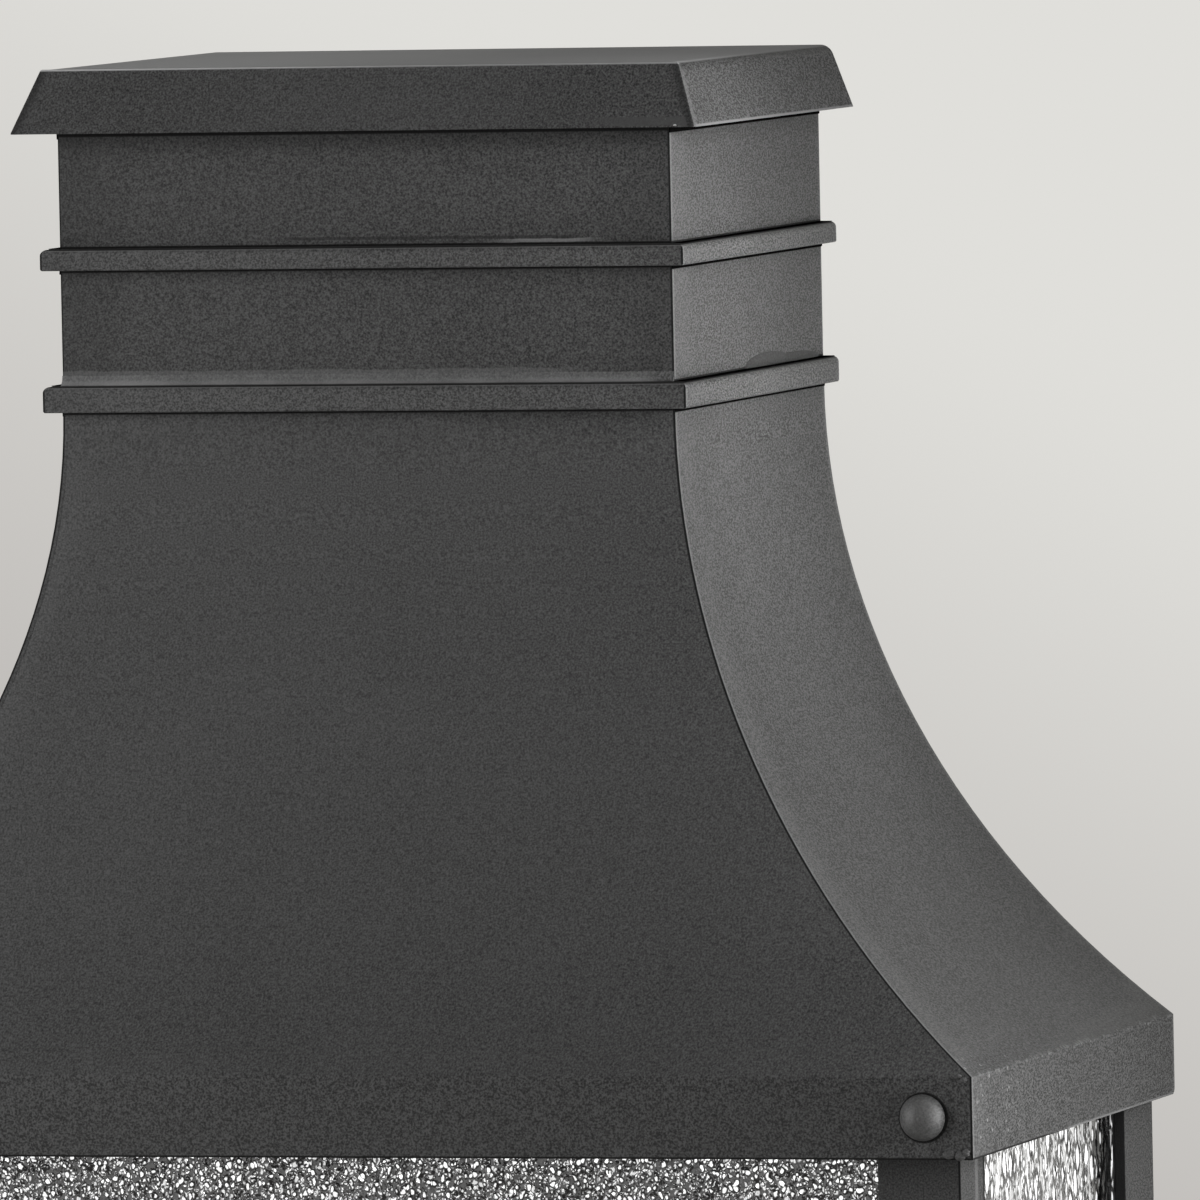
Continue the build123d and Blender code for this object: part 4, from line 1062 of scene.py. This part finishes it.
size = maths(tree, "MULTIPLY_ADD", lot["Green"], SEED_SPREAD, SEED_LEAST)
beyond = maths(tree, "SUBTRACT", distance, size)
ring = maths(tree, "ABSOLUTE", maths(tree, "SUBTRACT", beyond, RING))
masks = {
    "Seed": ramp(tree, beyond, 0.06, -0.06),
    "Outline": ramp(tree, ring, RING, 0.06),
    "Height": ramp(tree, beyond, 0.25, -0.25),
}
for label, mask in masks.items():
    link(tree, maths(tree, "MULTIPLY", mask, kept), result.inputs[label])
print("glass group:", len(tree.nodes), "nodes")

# %% [markdown]
# ## The two kinds of pane
# Each pane has a coarse layer of seeds and a finer one. Near the rear of the side panes, a dark upright
# column is painted into the glass as painted shade, and its front part still holds a few fine seeds.

# %% Panes
FINER = 1.9
SHADE_START = -41.5 * MM
SHADE_CLEAR = -34.0 * MM
SHADE_END = -26.0 * MM
OUTLINE_TONE = shown(8)
GLASS_RELIEF = 0.35 * MM


def seeded(name, across, up, share, body, glow, tint, shaded=False):
    """Clear glass crowded with seeds, with a painted glow: a body level between them, and the brightness of
    their middles.
    """
    material, tree, shader = principled(
        name, Roughness=0.04, IOR=1.5, Transmission_Weight=1.0, Emission_Strength=glow, Specular_IOR_Level=0.2
    )
    layers = []
    for finer in (1.0, FINER):
        sizes = {"Across": across * finer, "Up": up * finer, "Share": share}
        layers.append(add_node(tree, "ShaderNodeGroup", node_tree=glass_group, inputs=sizes).outputs)
    coarse, fine = layers
    seed = maths(tree, "MULTIPLY_ADD", fine["Seed"], 0.7, coarse["Seed"], clamp=True)
    outline = maths(tree, "MAXIMUM", coarse["Outline"], fine["Outline"])
    outline = overlap(tree, outline, inverse(tree, coarse["Seed"]))
    clear = inverse(tree, outline)
    light = overlap(tree, maths(tree, "MAXIMUM", seed, body), clear)
    dark = outline
    # The dark column near the rear of a side pane is painted shade
    if shaded:
        _, y, _ = spot_in(tree)
        column = between(tree, y, SHADE_START, SHADE_END, MM)
        rear = ramp(tree, y, SHADE_CLEAR - MM, SHADE_CLEAR + MM)
        few = overlap(tree, fine["Seed"], clear, inverse(tree, rear))
        outside = overlap(tree, light, inverse(tree, column))
        light = maths(tree, "MULTIPLY_ADD", few, column, outside)
        dark = maths(tree, "MAXIMUM", outline, column)
    # The emission is painted light: the seeds' glow and the glow of the body between them
    link(tree, light, shader.inputs["Emission Color"])
    link(tree, mixed(tree, dark, shown(tint), OUTLINE_TONE), shader.inputs["Base Color"])
    height = maths(tree, "MULTIPLY_ADD", fine["Height"], 0.5, coarse["Height"])
    raise_relief(tree, shader, height, GLASS_RELIEF)
    return material


# The glow strength and the body level between the seeds are painted light
finish["seeded_glass"] = seeded("seeded_glass", 680.0, 520.0, 0.75, 0.05, 0.95, 190)
finish["side_seeded_glass"] = seeded("side_seeded_glass", 260.0, 130.0, 0.95, 0.33, 0.90, 228, shaded=True)
print("panes:", len(finish["side_seeded_glass"].node_tree.nodes), "nodes in the side panes' glass")

# %% [markdown]
# ## Lamps, leads and plated parts
# The rest is small stuff that shows through the glass or from behind: thin clear bulbs, nickel caps, amber
# filaments, off-white candle sleeves, moulded black holders, zinc plate, rubber and the three leads. Each
# gets a quiet variation of its own, because even a moulded sleeve is never one flat colour.

# %% Plain finishes
GLOSS_DRIFT = 0.12


def plain(name, dark, pale, rough, per_metre, bump_mm, stretch=(1, 1, 1), **settings):
    """A finish that drifts between two near colours, with an optional relief of the same noise."""
    material, tree, shader = principled(name, **settings)
    scale = add_node(tree, "ShaderNodeMapping", inputs={"Scale": stretch})
    link(tree, object_place(tree), scale.inputs["Vector"])
    drift = noise(tree, scale.outputs[0], per_metre, 3.0)
    link(tree, mixed(tree, drift, shown(*dark), shown(*pale)), shader.inputs["Base Color"])
    gloss = maths(tree, "MULTIPLY_ADD", drift, GLOSS_DRIFT, rough - GLOSS_DRIFT / 2)
    link(tree, gloss, shader.inputs["Roughness"])
    if bump_mm:
        raise_relief(tree, shader, drift, bump_mm * MM)
    return material


# (darkest colour, palest colour, roughness, cells to the metre, relief in mm)
PLAIN = {
    "lamp_glass": ((248, 248, 246), (253, 253, 252), 0.08, 40.0, 0.0),
    "lamp_cap": ((168,), (196, 194, 188), 0.34, 900.0, 0.02),
    "lamp_filament": ((206, 160, 62), (232, 190, 96), 0.6, 2500.0, 0.05),
    "candle_white": ((214, 210, 198), (226, 222, 211), 0.5, 120.0, 0.08),
    "holder_plastic": ((28,), (40,), 0.42, 700.0, 0.03),
    "plated_steel": ((166, 168, 168), (196, 194, 182), 0.36, 90.0, 0.02),
    "ground_green": ((40, 112, 62), (62, 138, 82), 0.38, 500.0, 0.02),
    "rubber": ((30,), (44,), 0.82, 1400.0, 0.12),
    "lead_black": ((26,), (38,), 0.42, 300.0, 0.02),
    "lead_white": ((212,), (228, 226, 220), 0.42, 300.0, 0.02),
    "lead_green": ((28, 118, 52), (40, 140, 66), 0.42, 300.0, 0.02),
    "connector_orange": ((206, 108, 34), (222, 128, 48), 0.4, 260.0, 0.03),
}
SETTINGS = {
    "lamp_glass": {"IOR": 1.45, "Transmission_Weight": 1.0},
    "lamp_cap": {"Metallic": 1.0},
    "plated_steel": {"Metallic": 1.0, "stretch": (1, 1, 6)},
    "ground_green": {"Metallic": 0.6},
}
for name, row in PLAIN.items():
    finish[name] = plain(name, *row, **SETTINGS.get(name, {}))
print("plain finishes:", list(PLAIN))

# %% [markdown]
# ## Dressing the frame
# Each piece of the frame already names its finish in the record, so a loop hands the materials out. The
# frame's meshes are loose triangles and their edges are razor sharp, while folded and coated sheet has a
# small round on every edge, which is what draws the thin light line along it. Two modifiers give that
# without touching the mesh: Weld joins the triangles, and Bevel rounds what is sharper than the limit.

# %% Finishes and rounded edges
SHARP = math.radians(30)
WELD_REACH = 0.002 * MM
EDGE_ROUND = {
    "black_coat": 0.35 * MM,
    "cage_coat": 0.3 * MM,
    "inner_coat": 0.2 * MM,
    "screw_coat": 0.15 * MM,
}
PANEL_ROUND = 0.12 * MM
OWN_FINISH = {
    "chimney_shell": "chimney_coat",
    "front_right_post": "post_coat",
    "front_left_post": "post_coat",
    "rear_right_post": "lit_rear_post_coat",
    "rear_left_post": "lit_rear_post_coat",
    "lower_band": "lit_band_coat",
    "upper_band": "lit_band_coat",
    "cap_front_plate": "cap_coat",
    "cap_cover": "cap_coat",
    "left_glass": "side_seeded_glass",
    "right_glass": "side_seeded_glass",
}


def round_edges(piece, width):
    """Weld the loose triangles, then round the sharp edges."""
    weld = piece.modifiers.new("weld", "WELD")
    weld.merge_threshold = WELD_REACH
    bevel = piece.modifiers.new("round", "BEVEL")
    bevel.limit_method = "ANGLE"
    bevel.angle_limit = SHARP
    bevel.width = width
    bevel.segments = 2
    bevel.harden_normals = True


slot_of = {row["node"]: row["material_slot"] for row in frame["record"]["subparts"]}
for name, piece in nodes.items():
    slot = slot_of[name]
    piece.data.materials.clear()
    piece.data.materials.append(finish[OWN_FINISH.get(name, slot)])
    if slot in EDGE_ROUND:
        round_edges(piece, PANEL_ROUND if name.endswith("_panel") else EDGE_ROUND[slot])
print("dressed", len(nodes), "pieces")
